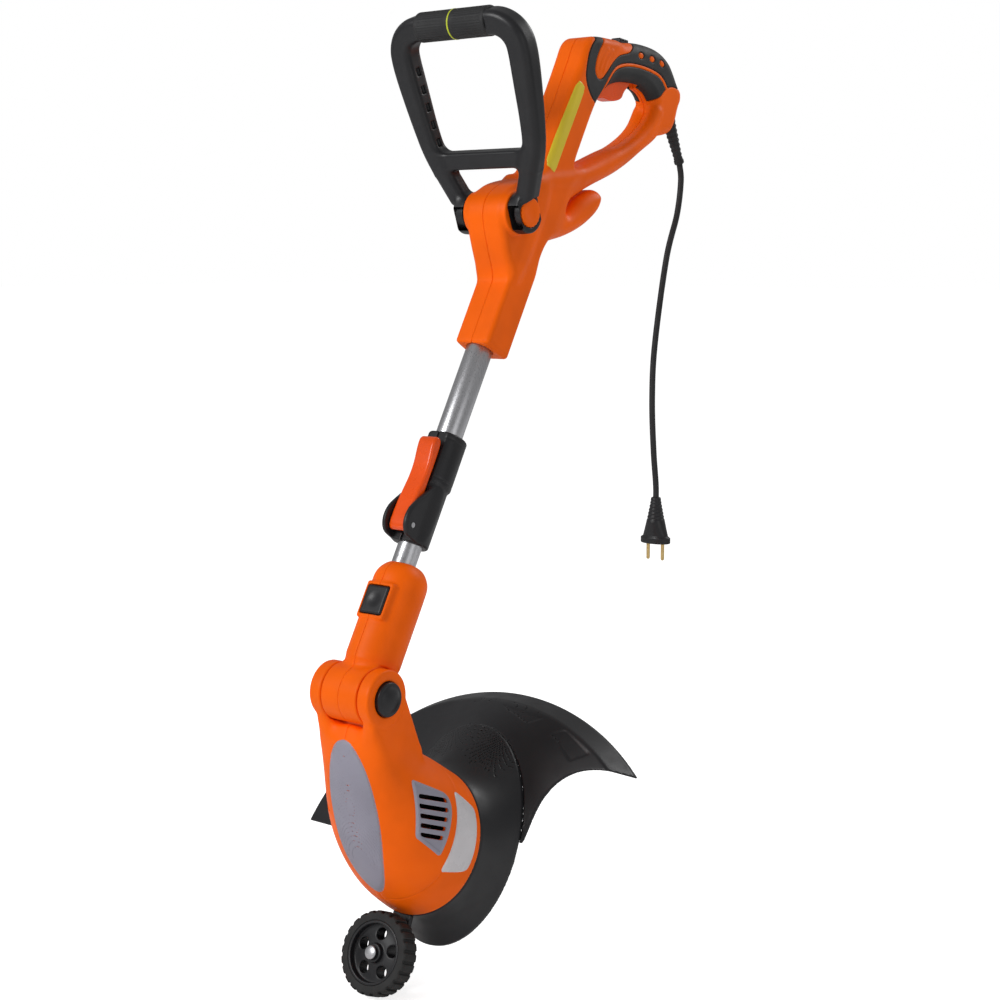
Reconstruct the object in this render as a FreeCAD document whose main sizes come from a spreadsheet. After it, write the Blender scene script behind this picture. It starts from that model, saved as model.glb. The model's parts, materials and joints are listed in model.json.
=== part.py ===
"""Corded lawn edger, a parametric FreeCAD 1.1 model in millimetres.

Three frames are used. The pole frame has +Z up the tube, -Y to the front and +X to the operator's left,
with its origin on the head's tilt axis. The head frame has the same origin, +Z along the motor's axis, away
from the cutting line, and -Y towards the guide wheel. The row frame's origin is where the guide wheel stands
on the ground, +Z up.
"""
import FreeCAD, Part
import math
import os
import re

import Sketcher
from FreeCAD import Placement, Rotation, Vector

DOCUMENT = FreeCAD.newDocument("LawnEdger")
SHEET = DOCUMENT.addObject("Spreadsheet::Sheet", "Sizes")

SIZES = {
    # How the machine stands
    "lean_angle": 30.3,
    "head_angle": 67.0,
    "pivot_height": 294.5,
    "pivot_setback": -18.4,
    "wall": 3.0,
    "gap": 0.2,
    "running_gap": 0.05,
    # Tubes
    "outer_tube_radius": 13.0,
    "inner_tube_radius": 11.5,
    "tube_wall": 1.4,
    "outer_tube_bottom": 166.0,
    "outer_tube_top": 445.0,
    "inner_tube_bottom": 50.0,
    "inner_tube_top": 400.0,
    # Clamp collar and its cam lever
    "collar_bottom": 147.0,
    "collar_step": 206.0,
    "collar_top": 258.0,
    "collar_slim_radius": 17.0,
    "collar_wide_radius": 19.0,
    "collar_flat": 15.4,
    "collar_ear_front": 30.0,
    "collar_ear_top": 174.0,
    "lever_width": 21.0,
    "lever_pin_forward": 22.6,
    "lever_pin_level": 159.0,
    "lever_pin_radius": 2.5,
    "lever_top": 248.0,
    # Rear housing
    "housing_width": 40.0,
    "housing_front": -20.0,
    "housing_rear": 20.5,
    "socket_bottom": 352.0,
    "boss_forward": 42.0,
    "boss_level": 479.0,
    "boss_radius": 21.0,
    "boss_half_width": 26.0,
    "housing_wall": 4.0,
    "grip_width": 32.0,
    "grip_root_setback": 26.0,
    "grip_root_level": 574.0,
    "overmould_skin": 2.0,
    "grip_slope": 25.0,
    "trigger_width": 16.0,
    "trigger_pin_setback": 32.0,
    "trigger_pin_level": 678.0,
    # Screws that hold each casing's halves together
    "screw_radius": 2.0,
    "screw_head_radius": 3.6,
    "screw_head_height": 2.2,
    "screw_seat": -11.0,
    "screw_end": 12.0,
    "screw_post_radius": 5.2,
    "head_screw_seat": -28.0,
    "head_screw_end": 20.0,
    # Front handle
    "foot_radius": 20.0,
    "foot_inner": 26.3,
    "foot_outer": 40.0,
    "handle_rise": 40.0,
    "handle_bar_radius": 11.0,
    "handle_sleeve_radius": 14.0,
    "handle_reach": 182.0,
    "handle_half_width": 70.0,
    "handle_corner": 27.0,
    "handle_button_radius": 14.5,
    "handle_axle_radius": 4.0,
    # Neck
    "neck_radius": 26.0,
    "neck_shift": -5.0,
    "neck_top": 127.0,
    "neck_half_width": 21.5,
    "barrel_radius": 26.5,
    "ear_inner": 22.0,
    "ear_outer": 36.0,
    "swivel_ring_radius": 16.0,
    "tilt_button_radius": 16.0,
    "tilt_button_face": 41.0,
    "tilt_button_back": 32.3,
    "tilt_room_floor": 28.0,
    "tilt_stem_radius": 8.0,
    # Motor housing and motor, head frame
    "motor_axis": -113.5,
    "housing_rim": -141.0,
    "housing_rim_radius": 71.0,
    "motor_radius": 33.0,
    "shaft_radius": 4.0,
    "bearing_radius": 11.0,
    "fan_radius": 43.5,
    # Guard, head frame
    "dome_edge": -195.0,
    "dome_half_width": 76.0,
    "dome_half_length": 109.0,
    "dome_centre": -100.0,
    "guard_skin": 2.6,
    "wing_edge": -244.0,
    "wing_radius": 234.0,
    "wing_centre": -183.0,
    "wing_lip": 7.0,
    # Spool
    "drum_radius": 40.0,
    "drum_top": -197.0,
    "drum_bottom": -239.0,
    "line_level": -233.0,
    "line_radius": 0.8,
    "line_reach": 145.0,
    "knob_radius": 22.0,
    "knob_bottom": -252.0,
    # Guide wheel, head frame
    "wheel_forward": -224.5,
    "wheel_level": -122.5,
    "wheel_radius": 39.4,
    "wheel_width": 19.0,
    "wheel_rim_radius": 30.0,
    "wheel_axle_radius": 4.0,
    # Cord and plug
    "cord_radius": 3.3,
    "plug_pin_radius": 2.0,
    "plug_pin_spacing": 19.0,
    "plug_pin_length": 19.0,
    "plug_bottom": 371.0,
    "plug_setback": 473.6,
}

for sheet_row, (alias, amount) in enumerate(SIZES.items(), start=1):
    SHEET.set("A%d" % sheet_row, alias)
    SHEET.set("B%d" % sheet_row, str(amount))
    SHEET.setAlias("B%d" % sheet_row, alias)
DOCUMENT.recompute()

PROBE = DOCUMENT.addObject("App::FeaturePython", "Probe")
PROBE.addProperty("App::PropertyFloat", "Result")

ALONG_X = Rotation(Vector(0, 1, 0), 90)
ALONG_Y = Rotation(Vector(1, 0, 0), -90)
UPRIGHT = Rotation()
WORDS = re.compile(r"[a-z]+(?:_[a-z]+)*")
FAR = 400.0
SPRING_POINTS = 8

LEAN = Placement(
    Vector(0, SHEET.get("pivot_setback"), SHEET.get("pivot_height")),
    Rotation(Vector(1, 0, 0), -SHEET.get("lean_angle")),
)
TILT = Placement(
    Vector(0, SHEET.get("pivot_setback"), SHEET.get("pivot_height")),
    Rotation(Vector(1, 0, 0), SHEET.get("head_angle")),
)
GROUND = Placement()

NODES = []


# Helpers


def formula(text):
    """A formula on the sheet's aliases, in the form that setExpression takes."""

    def in_sheet(word):
        return "Sizes." + word.group() if word.group() in SIZES else word.group()

    return WORDS.sub(in_sheet, str(text))


def number(text):
    """What a formula comes to at the sheet's present values."""
    PROBE.setExpression("Result", formula(text))
    PROBE.recompute()
    return PROBE.Result


def bind(item, formulas, at=(0, 0, 0)):
    """Bind an object's sizes and its position to the sheet."""
    for name, text in formulas.items():
        item.setExpression(name, formula(text))
    for axis, text in zip("xyz", at):
        item.setExpression("Placement.Base." + axis, formula(text))
    return item


def cylinder(name, radius, height, at=(0, 0, 0), turn=UPRIGHT):
    item = DOCUMENT.addObject("Part::Cylinder", name)
    item.Placement = Placement(Vector(), turn)
    return bind(item, {"Radius": radius, "Height": height}, at)


def x_cylinder(name, radius, start, end, y=0, z=0):
    """A cylinder along X from start to end."""
    return cylinder(name, radius, "(%s) - (%s)" % (end, start), (start, y, z), ALONG_X)


def cone(name, bottom, top, height, at=(0, 0, 0), turn=UPRIGHT):
    item = DOCUMENT.addObject("Part::Cone", name)
    item.Placement = Placement(Vector(), turn)
    return bind(item, {"Radius1": bottom, "Radius2": top, "Height": height}, at)


def box(name, lengths, at=(0, 0, 0), turn=UPRIGHT):
    item = DOCUMENT.addObject("Part::Box", name)
    item.Placement = Placement(Vector(), turn)
    return bind(item, dict(zip(("Length", "Width", "Height"), lengths)), at)


def ellipse(name, half_x, half_y, at):
    """An ellipse in a level plane; its long axis may lie along X or along Y."""
    item = DOCUMENT.addObject("Part::Ellipse", name)
    longer, shorter = half_x, half_y
    if number(half_y) > number(half_x):
        longer, shorter = half_y, half_x
        item.Placement = Placement(Vector(), Rotation(Vector(0, 0, 1), 90))
    return bind(item, {"MajorRadius": longer, "MinorRadius": shorter}, at)


def loft(name, sections):
    item = DOCUMENT.addObject("Part::Loft", name)
    item.Sections = sections
    item.Solid = True
    return item


def fuse(name, *items):
    item = DOCUMENT.addObject("Part::MultiFuse", name)
    item.Shapes = list(items)
    return item


def cut(name, base, *tools):
    item = DOCUMENT.addObject("Part::Cut", name)
    item.Base = base
    item.Tool = tools[0] if len(tools) == 1 else fuse(name + "_tools", *tools)
    return item


def common(name, first, second):
    item = DOCUMENT.addObject("Part::Common", name)
    item.Base = first
    item.Tool = second
    return item


def add_corners(sketch, corners):
    """Draw a closed outline of straight edges whose corners are bound to the sheet."""
    first = sketch.GeometryCount
    points = [Vector(number(across), number(up), 0) for across, up in corners]
    count = len(points)
    for index in range(count):
        sketch.addGeometry(Part.LineSegment(points[index], points[(index + 1) % count]), False)
    for index in range(count):
        sketch.addConstraint(
            Sketcher.Constraint("Coincident", first + index, 2, first + (index + 1) % count, 1)
        )
    for index, (across, up) in enumerate(corners):
        for kind, text in (("DistanceX", across), ("DistanceY", up)):
            added = sketch.addConstraint(Sketcher.Constraint(kind, -1, 1, first + index, 1, number(text)))
            if str(text) != "0":
                sketch.setExpression("Constraints[%d]" % added, formula(text))


def side_plate(name, half_width, corners, holes=()):
    """A plate of an outline in the YZ plane, centred on X = 0."""
    sketch = DOCUMENT.addObject("Sketcher::SketchObject", name + "_outline")
    sketch.Placement = Placement(Vector(), Rotation(Vector(1, 1, 1), 120))
    for outline in (corners, *holes):
        add_corners(sketch, outline)
    item = DOCUMENT.addObject("Part::Extrusion", name)
    item.Base = sketch
    item.DirMode = "Normal"
    item.Solid = True
    item.Symmetric = True
    return bind(item, {"LengthFwd": "2 * (%s)" % half_width})


def inner_plate(name, half_width, outline, wall):
    """What lies inside a plate, one wall in from its outline and its faces."""
    inside = DOCUMENT.addObject("Part::Offset2D", name + "_offset")
    inside.Source = outline
    inside.Join = 2
    bind(inside, {"Value": "-(%s)" % wall})
    item = DOCUMENT.addObject("Part::Extrusion", name)
    item.Base = inside
    item.DirMode = "Normal"
    item.Solid = True
    item.Symmetric = True
    return bind(item, {"LengthFwd": "2 * (%s - %s)" % (half_width, wall)})


def halves(whole, left_label, right_label, frame):
    """Split a casing on its middle plane into a left and a right shell."""
    for label, start in ((left_label, 0), (right_label, -FAR)):
        side = box(label + "_side", (FAR, 5 * FAR, 5 * FAR), (start, -2 * FAR, -2 * FAR))
        keep(common(label, whole, side), label, frame)


def keep(item, label, frame):
    """Give a finished sub-part its name and its place."""
    item.Label = label
    item.Placement = frame
    NODES.append(item)
    return item


def keep_group(label, frame, *items):
    """Keep primitives, which hold places of their own, as one named sub-part."""
    group = DOCUMENT.addObject("Part::Compound", label)
    group.Links = list(items)
    return keep(group, label, frame)


def origin_plane(body, role):
    return next(feature for feature in body.Origin.OriginFeatures if feature.Role == role)


def turned_body(label, profile, frame):
    """A PartDesign body turned about its own Z from half an outline of radius and level pairs."""
    body = DOCUMENT.addObject("PartDesign::Body", label)
    sketch = body.newObject("Sketcher::SketchObject", label + "_profile")
    sketch.AttachmentSupport = (origin_plane(body, "XZ_Plane"), [""])
    sketch.MapMode = "FlatFace"
    add_corners(sketch, profile)
    turn = body.newObject("PartDesign::Revolution", label + "_turn")
    turn.Profile = sketch
    turn.ReferenceAxis = (sketch, ["V_Axis"])
    turn.Angle = 360
    return keep(body, label, frame)


def computed(label, shape, frame):
    """A sub-part whose shape is worked out from the sheet by Part's own functions."""
    item = DOCUMENT.addObject("Part::Feature", label)
    item.Shape = shape
    return keep(item, label, frame)


def spring(label, radius, wire, length, turns, frame):
    """A compression spring of round wire, standing on its own origin along Z."""
    steps = round(SPRING_POINTS * turns)
    points = []
    for index in range(steps + 1):
        angle = 2 * math.pi * index / SPRING_POINTS
        level = wire + (length - 2 * wire) * index / steps
        points.append(Vector(radius * math.cos(angle), radius * math.sin(angle), level))
    return computed(label, rod_along(points, wire), frame)


def rod_along(points, radius):
    """A round rod along a smooth curve through the given points."""
    curve = Part.BSplineCurve()
    curve.interpolate(points)
    path = Part.Wire(curve.toShape())
    start = curve.tangent(curve.FirstParameter)[0]
    ring = Part.Wire(Part.makeCircle(radius, points[0], start))
    return path.makePipeShell([ring], True, True)


# Tubes and the telescope clamp


def tubes():
    for label, radius, bottom, top in (
        ("upper_tube", "outer_tube_radius", "outer_tube_bottom", "outer_tube_top"),
        ("lower_tube", "inner_tube_radius", "inner_tube_bottom", "inner_tube_top"),
    ):
        length = "%s - %s" % (top, bottom)
        skin = cylinder(label + "_skin", radius, length, (0, 0, bottom))
        hole = cylinder(label + "_hole", radius + " - tube_wall", length, (0, 0, bottom))
        keep(cut(label, skin, hole), label, LEAN)
    ring = cylinder("ring_skin", "swivel_ring_radius", 10, (0, 0, 60))
    ring_hole = cylinder("ring_hole", "inner_tube_radius", 10, (0, 0, 60))
    keep(cut("swivel_ring", ring, ring_hole), "swivel_ring", LEAN)


def clamp_collar():
    slim_length = "collar_step - collar_bottom"
    wide_length = "collar_top - collar_step"
    slim = cylinder("collar_slim", "collar_slim_radius", slim_length, (0, 0, "collar_bottom"))
    wide = cylinder("collar_wide", "collar_wide_radius", wide_length, (0, 0, "collar_step"))
    ears = box(
        "collar_ears",
        ("lever_width + 10", "collar_ear_front", "collar_ear_top - collar_bottom"),
        ("-lever_width / 2 - 5", "-collar_ear_front", "collar_bottom"),
    )
    slot = box(
        "collar_lever_slot",
        ("lever_width + 1", 40, "collar_top - collar_bottom + 2"),
        ("-lever_width / 2 - 0.5", "-40 - collar_flat", "collar_bottom - 1"),
    )
    split = box("collar_split", (1.5, 40, 60), (-0.75, -40, "collar_bottom - 1"))
    bore = cylinder("collar_bore", "outer_tube_radius", 200, (0, 0, "outer_tube_bottom"))
    low = (0, 0, "collar_bottom - 20")
    slim_bore = cylinder("collar_slim_bore", "inner_tube_radius + running_gap", 60, low)
    pin_at = ("-lever_pin_forward", "lever_pin_level")
    pin_hole = x_cylinder("collar_pin_hole", "lever_pin_radius", -30, 30, *pin_at)
    solid = fuse("collar_solid", slim, wide, ears)
    keep(cut("clamp_collar", solid, slot, split, bore, slim_bore, pin_hole), "clamp_collar", LEAN)
    pin = x_cylinder(
        "lever_pin_rod", "lever_pin_radius", "-lever_width / 2 - 5", "lever_width / 2 + 5", *pin_at
    )
    keep_group("lever_pin", LEAN, pin)


def clamp_lever():
    corners = (
        ("-16.2", "lever_top - 46"), ("-16.2", "lever_top - 8"), ("-19", "lever_top"), ("-26", "lever_top"),
        ("-28.4", "lever_top - 7"), ("-23", "lever_top - 33"), ("-27", "lever_top - 62"),
        ("-28.5", "lever_top - 84"), ("-27", "lever_top - 94"), ("-21", "lever_top - 96"),
        ("-16.8", "lever_top - 90"), ("-16.4", "lever_top - 60"),
    )
    blade = side_plate("lever_blade", "lever_width / 2", corners)
    hole = x_cylinder(
        "lever_hole", "lever_pin_radius + running_gap", -20, 20, "-lever_pin_forward", "lever_pin_level"
    )
    keep(cut("clamp_lever", blade, hole), "clamp_lever", LEAN)


# Rear housing with its grip

HOUSING_OUTLINE = (
    (-16, "socket_bottom"), ("housing_rear", "socket_bottom"), ("housing_rear", 487), (50, 511), (70, 535),
    (84, 554), (83, 570), (70, 571), (58, 555), (37, 524), (50, 558), (66, 583), (96, 621), (124, 667),
    (149, 694), (169, 710), (165, 746), (147, 756), (128, 763), (108, 766), (80, 756), (47, 738), (20, 731),
    (0, 713), (-14, 692), ("housing_front", 668), ("housing_front", 533), (-38, 516), (-38, 444), (-16, 422),
)
HAND_OPENING = (
    (22, 579), (22, 648), (28, 662), (40, 681), (65, 701), (85, 714), (104, 719), (124, 712), (121, 690),
    (105, 661), (79, 632), (54, 603), (31, 581),
)
GRIP_BAND = (
    (27, 692), (40, 670), (104, 708), (128, 718), (151, 722), (151, 780), (60, 780), (27, 745)
)
TRIGGER_ROOM = (
    (24, 655), (40, 655), (62, 672), (84, 690), (87, 716), (76, 732), (56, 722), (28, 697), (23, 684),
)
LOCK_CENTRE = Vector(0, 46, 738)
CORD_START = Vector(0, 158, 728)
CORD_TIP = Vector(0, 209, 696)
# Each screw's place, and how far its post reaches from the middle plane
HOUSING_SCREWS = ((0, 560, 17), (0, 640, 17), (75, 607, 13), (146, 722, 13), (30, 505, 17))


def grip_sides(name, half_width, wall):
    """The blocks that narrow the loop of the grip, starting one wall earlier inside than outside."""
    start = ("grip_root_setback - (%s)" % wall, "grip_root_level - (%s)" % wall)
    left = box(name + "_left", (20, 160, 230), (half_width, *start))
    right = box(name + "_right", (20, 160, 230), ("-20 - (%s)" % half_width, *start))
    return left, right


def screw(name, at, seat, end):
    """A screw along X whose head stands on the seat, on the -X side."""
    shank = x_cylinder(name + "_shank", "screw_radius", seat, end, *at)
    head = x_cylinder(name + "_head", "screw_head_radius", "%s - screw_head_height" % seat, seat, *at)
    return fuse(name, shank, head)


def screw_recess(name, seat, at):
    """The room from a screw's seat out through the casing's -X side."""
    return x_cylinder(name, "screw_head_radius + gap", -90, seat, *at)


def rear_housing():
    block = side_plate("housing_block", "housing_width / 2", HOUSING_OUTLINE, (HAND_OPENING,))
    solid = cut("housing_loop", block, *grip_sides("grip_side", "grip_width / 2", 0))
    boss = x_cylinder(
        "housing_boss", "boss_radius", "-boss_half_width", "boss_half_width", "-boss_forward", "boss_level"
    )
    room = cut(
        "housing_room",
        inner_plate("housing_room_block", "housing_width / 2", block.Base, "housing_wall"),
        *grip_sides("room_side", "grip_width / 2 - housing_wall", "housing_wall"),
    )
    boss_room = x_cylinder(
        "boss_room", "boss_radius - wall", "wall - boss_half_width", "boss_half_width - wall",
        "-boss_forward", "boss_level",
    )
    ribs = [box("tube_rib_%d" % level, (35, 30, 5), (-17.5, -13, level)) for level in (384, 436)]
    posts = []
    recesses = []
    holes = []
    screws = []
    for index, (setback, level, reach) in enumerate(HOUSING_SCREWS):
        at = (setback, level)
        posts.append(x_cylinder("screw_post_%d" % index, "screw_post_radius", -reach, reach, *at))
        recesses.append(screw_recess("screw_recess_%d" % index, "screw_seat", at))
        holes.append(x_cylinder("screw_hole_%d" % index, "screw_radius", -30, "screw_end", *at))
        screws.append(screw("housing_screw_%d" % index, at, "screw_seat", "screw_end"))
    shell = cut("housing_shell", fuse("housing_body", solid, boss), room, boss_room)
    skin = grip_skin(block)
    trigger_room = side_plate("trigger_room", "trigger_width / 2 + 0.6", TRIGGER_ROOM)
    lock_room = grip_block("lock_room", 13, 17.2, 30)
    socket = cylinder("tube_socket", "outer_tube_radius", 200, (0, 0, 246))
    axle_hole = x_cylinder("axle_hole", "handle_axle_radius", -40, 40, "-boss_forward", "boss_level")
    along_cord = Rotation(Vector(0, 0, 1), CORD_TIP - CORD_START)
    cord_hole = cylinder("cord_hole", 8.1, 40, CORD_START, along_cord)
    pin_hole = x_cylinder(
        "trigger_pin_hole", "screw_radius", -13, 13, "trigger_pin_setback", "trigger_pin_level"
    )
    whole = cut(
        "housing_whole", fuse("housing_ribbed", shell, *ribs, *posts), skin, trigger_room, lock_room, socket,
        axle_hole, cord_hole, pin_hole, *recesses, *holes,
    )
    halves(whole, "rear_housing_left", "rear_housing_right", LEAN)
    over = cut("grip_overmould", skin, trigger_room, lock_room)
    keep(over, "grip_overmould", LEAN)
    keep_group("housing_screws", LEAN, *screws)


def grip_skin(block):
    """The soft skin moulded over the grip: the outer layer of the loop between two cuts."""
    band = side_plate("grip_band", "grip_width / 2", GRIP_BAND)
    core = inner_plate("grip_core", "grip_width / 2", block.Base, "overmould_skin")
    return cut("grip_skin", common("grip_length", block, band), core)


def grip_block(name, width, length, height):
    """A block on the top of the grip, square to its slope, where the lock-off button slides."""
    slope = Rotation(Vector(1, 0, 0), number("grip_slope"))
    half = slope.multVec(Vector(-width / 2, -length / 2, -height / 2))
    item = DOCUMENT.addObject("Part::Box", name)
    item.Length = width
    item.Width = length
    item.Height = height
    item.Placement = Placement(half + LOCK_CENTRE, slope)
    return item


def trigger_group():
    corners = (
        (31, 659), (45, 669.5), (57, 673), (71, 685), (70, 693), (76, 707), (72, 714), (60, 706), (37, 688),
        (28, 680), (27, 672),
    )
    blade = side_plate("trigger_blade", "trigger_width / 2", corners)
    hole = x_cylinder(
        "trigger_hole", "screw_radius + running_gap", -20, 20, "trigger_pin_setback", "trigger_pin_level"
    )
    keep(cut("trigger", blade, hole), "trigger", LEAN)
    pin = x_cylinder("trigger_pin_rod", "screw_radius", -12, 12, "trigger_pin_setback", "trigger_pin_level")
    keep_group("trigger_pin", LEAN, pin)
    place = LEAN.multiply(Placement(Vector(0, 62, 711), UPRIGHT))
    spring("trigger_spring", 3, 0.5, 12, 5, place)
    slope = Rotation(Vector(1, 0, 0), 37)
    body = box("switch_box", (14, 26, 12), (-7, 92, 727), slope)
    keep_group("switch", LEAN, body)
    keep_group("lock_off_button", LEAN, grip_block("lock_button", 12, 16, 14))


# Front handle, in its own frame: X across, Z from the pivot towards the crossbar's far end


def front_handle():
    frame = LEAN.multiply(
        Placement(
            Vector(0, -number("boss_forward"), number("boss_level")),
            Rotation(Vector(1, 0, 0), 90 - number("handle_rise")),
        )
    )
    bar = number("handle_bar_radius")
    reach = number("handle_reach")
    side = number("handle_half_width")
    corner = number("handle_corner")
    leg_points = [Vector(37, 0, 8), Vector(61, 0, 62), Vector(67, 0, 111), Vector(side, 0, reach - corner)]
    leg = rod_along(leg_points, bar)
    ring = Part.Wire(Part.makeCircle(bar, Vector(side, 0, reach - corner), Vector(0, 0, 1)))
    bend = Part.Face(ring).revolve(Vector(side - corner, 0, reach - corner), Vector(0, -1, 0), 90)
    half_bar = Part.makeCylinder(bar, side - corner, Vector(0, 0, reach), Vector(1, 0, 0))
    half_rail = Part.makeBox(56, 14, 17, Vector(0, -7, 45))
    half_shape = leg.multiFuse([bend, half_bar, half_rail])
    loop = half_shape.fuse(half_shape.mirror(Vector(), Vector(1, 0, 0)))
    rail = DOCUMENT.addObject("Part::Feature", "handle_loop")
    rail.Shape = loop
    feet = []
    rooms = [x_cylinder("foot_axle_hole", "handle_axle_radius + running_gap", -60, 60)]
    for name, sign in (("left", 1), ("right", -1)):
        inner, outer = ("foot_inner", "foot_outer") if sign > 0 else ("-foot_outer", "-foot_inner")
        feet.append(x_cylinder("foot_" + name, "foot_radius", inner, outer))
        near, far = (31.5, 80) if sign > 0 else (-80, -31.5)
        rooms.append(x_cylinder("button_room_" + name, "handle_button_radius + gap", near, far))
    middle = x_cylinder("foot_gap", "boss_radius + 6", "-foot_inner", "foot_inner")
    solid = fuse("handle_solid", rail, *feet)
    keep(cut("front_handle_frame", solid, middle, *rooms), "front_handle_frame", frame)

    skin = x_cylinder("sleeve_skin", "handle_sleeve_radius", -42, 42, 0, "handle_reach")
    core = x_cylinder("sleeve_core", "handle_bar_radius", -42, 42, 0, "handle_reach")
    keep(cut("front_handle_grip", skin, core), "front_handle_grip", frame)
    for name, near, far, spring_start in (("left", 35, 41.5, 31.5), ("right", -41.5, -35, -35)):
        face = x_cylinder("handle_button_face_" + name, "handle_button_radius", near, far)
        keep_group("front_handle_button_" + name, frame, face)
        place = frame.multiply(Placement(Vector(spring_start, 0, 0), ALONG_X))
        spring("front_handle_spring_" + name, 9, 0.5, 3.5, 2, place)
    axle = x_cylinder("axle_rod", "handle_axle_radius", -31, 31)
    keep_group("front_handle_axle", frame, axle)


# Neck

NECK_SCREW_LEVELS = (50, 108)
NECK_SCREW_SETBACK = 18.5


def neck():
    barrel = x_cylinder("barrel", "barrel_radius", "-neck_half_width", "neck_half_width")
    bridge = box("neck_bridge", ("2 * neck_half_width", 46, 32), ("-neck_half_width", -21, 0))
    sections = []
    for name, radius, shift, level in (
        ("low", "neck_radius", "-neck_shift", 29),
        ("middle", "neck_radius", "-neck_shift", 70),
        ("high", "neck_radius - 1", "-neck_shift - 1", 104),
        ("shoulder", "neck_radius - 5", "-neck_shift - 3", 119),
        ("top", "neck_radius - 11", "-neck_shift - 5", "neck_top"),
    ):
        sections.append(ellipse("neck_section_" + name, radius, radius, (0, shift, level)))
    pole = loft("neck_pole", sections)
    frame_plate = box("button_frame", (32, 21.5, 36), (-16, -21.5, 66))
    solid = fuse("neck_solid", barrel, bridge, pole, frame_plate)
    tube_bore = cylinder("neck_bore", "inner_tube_radius + running_gap", 200, (0, 0, 46))
    ring_room = cylinder("ring_room", "swivel_ring_radius + gap", 10.6, (0, 0, 59.7))
    cable_way = cylinder("cable_way", 9, 100, (0, 0, -30))
    hollow = cylinder("neck_hollow", 19, 18, (0, 3, 27))
    stem_bore = x_cylinder("neck_stem_bore", "tilt_stem_radius + running_gap", -30, 30)
    pocket = box("button_pocket", (26, 30, 28.4), (-13, -43.2, 69.8))
    rooms = (tube_bore, ring_room, cable_way, hollow, stem_bore, pocket)
    whole = cut("neck_whole", solid, *rooms, *neck_screw_rooms())
    halves(whole, "neck_left", "neck_right", LEAN)
    screws = []
    for level in NECK_SCREW_LEVELS:
        at = (NECK_SCREW_SETBACK, level)
        screws.append(screw("neck_screw_%d" % level, at, "screw_seat", "screw_end"))
    keep_group("neck_screws", LEAN, *screws)
    button = box("square_button", (25.6, 7, 28), (-12.8, -22.5, 70))
    keep_group("swivel_button", LEAN, button)


def neck_screw_rooms():
    rooms = []
    for level in NECK_SCREW_LEVELS:
        at = (NECK_SCREW_SETBACK, level)
        rooms.append(x_cylinder("neck_screw_hole_%d" % level, "screw_radius", -40, "screw_end", *at))
        rooms.append(screw_recess("neck_screw_recess_%d" % level, "screw_seat", at))
    return rooms


def tilt_buttons():
    for name, sign in (("left", 1), ("right", -1)):
        stem_ends = (10, "tilt_button_back") if sign > 0 else ("-tilt_button_back", -10)
        face_ends = ("tilt_button_back", "tilt_button_face")
        if sign < 0:
            face_ends = ("-tilt_button_face", "-tilt_button_back")
        stem = x_cylinder("tilt_stem_" + name, "tilt_stem_radius", *stem_ends)
        face = x_cylinder("tilt_face_" + name, "tilt_button_radius", *face_ends)
        button = fuse("tilt_button_solid_" + name, stem, face)
        keep_group("tilt_button_" + name, LEAN, button)
    place = LEAN.multiply(Placement(Vector(-10, 0, 0), ALONG_X))
    spring("tilt_button_spring", 5.5, 0.8, 20, 6, place)


# Motor head, in the head frame

# Level, half width, half length and centre of each section of the motor housing, rim first
HOUSING_SECTIONS = (
    ("housing_rim", "housing_rim_radius", "housing_rim_radius", "motor_axis"),
    (-105, 68, 68, -104),
    (-67, 60, 57.5, -88.5),
    (-35, 49, 40, -67),
    (-10, 37, 20, -47),
    (0, 24, 9, -39),
)
HEAD_SCREWS = ((-60, -24), (-104, -50), (-165, -130))


def housing_form(name, inset):
    """The motor housing's outer form, drawn in by the inset, closed at both ends."""
    sections = []
    for index, (level, half_x, half_y, centre) in enumerate(HOUSING_SECTIONS):
        drop = 0 if index == 0 else inset
        sections.append(
            ellipse(
                "%s_%d" % (name, index), "%s - (%s)" % (half_x, inset), "%s - (%s)" % (half_y, inset),
                (0, centre, "%s - (%s)" % (level, drop)),
            )
        )
    return loft(name, sections)


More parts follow.
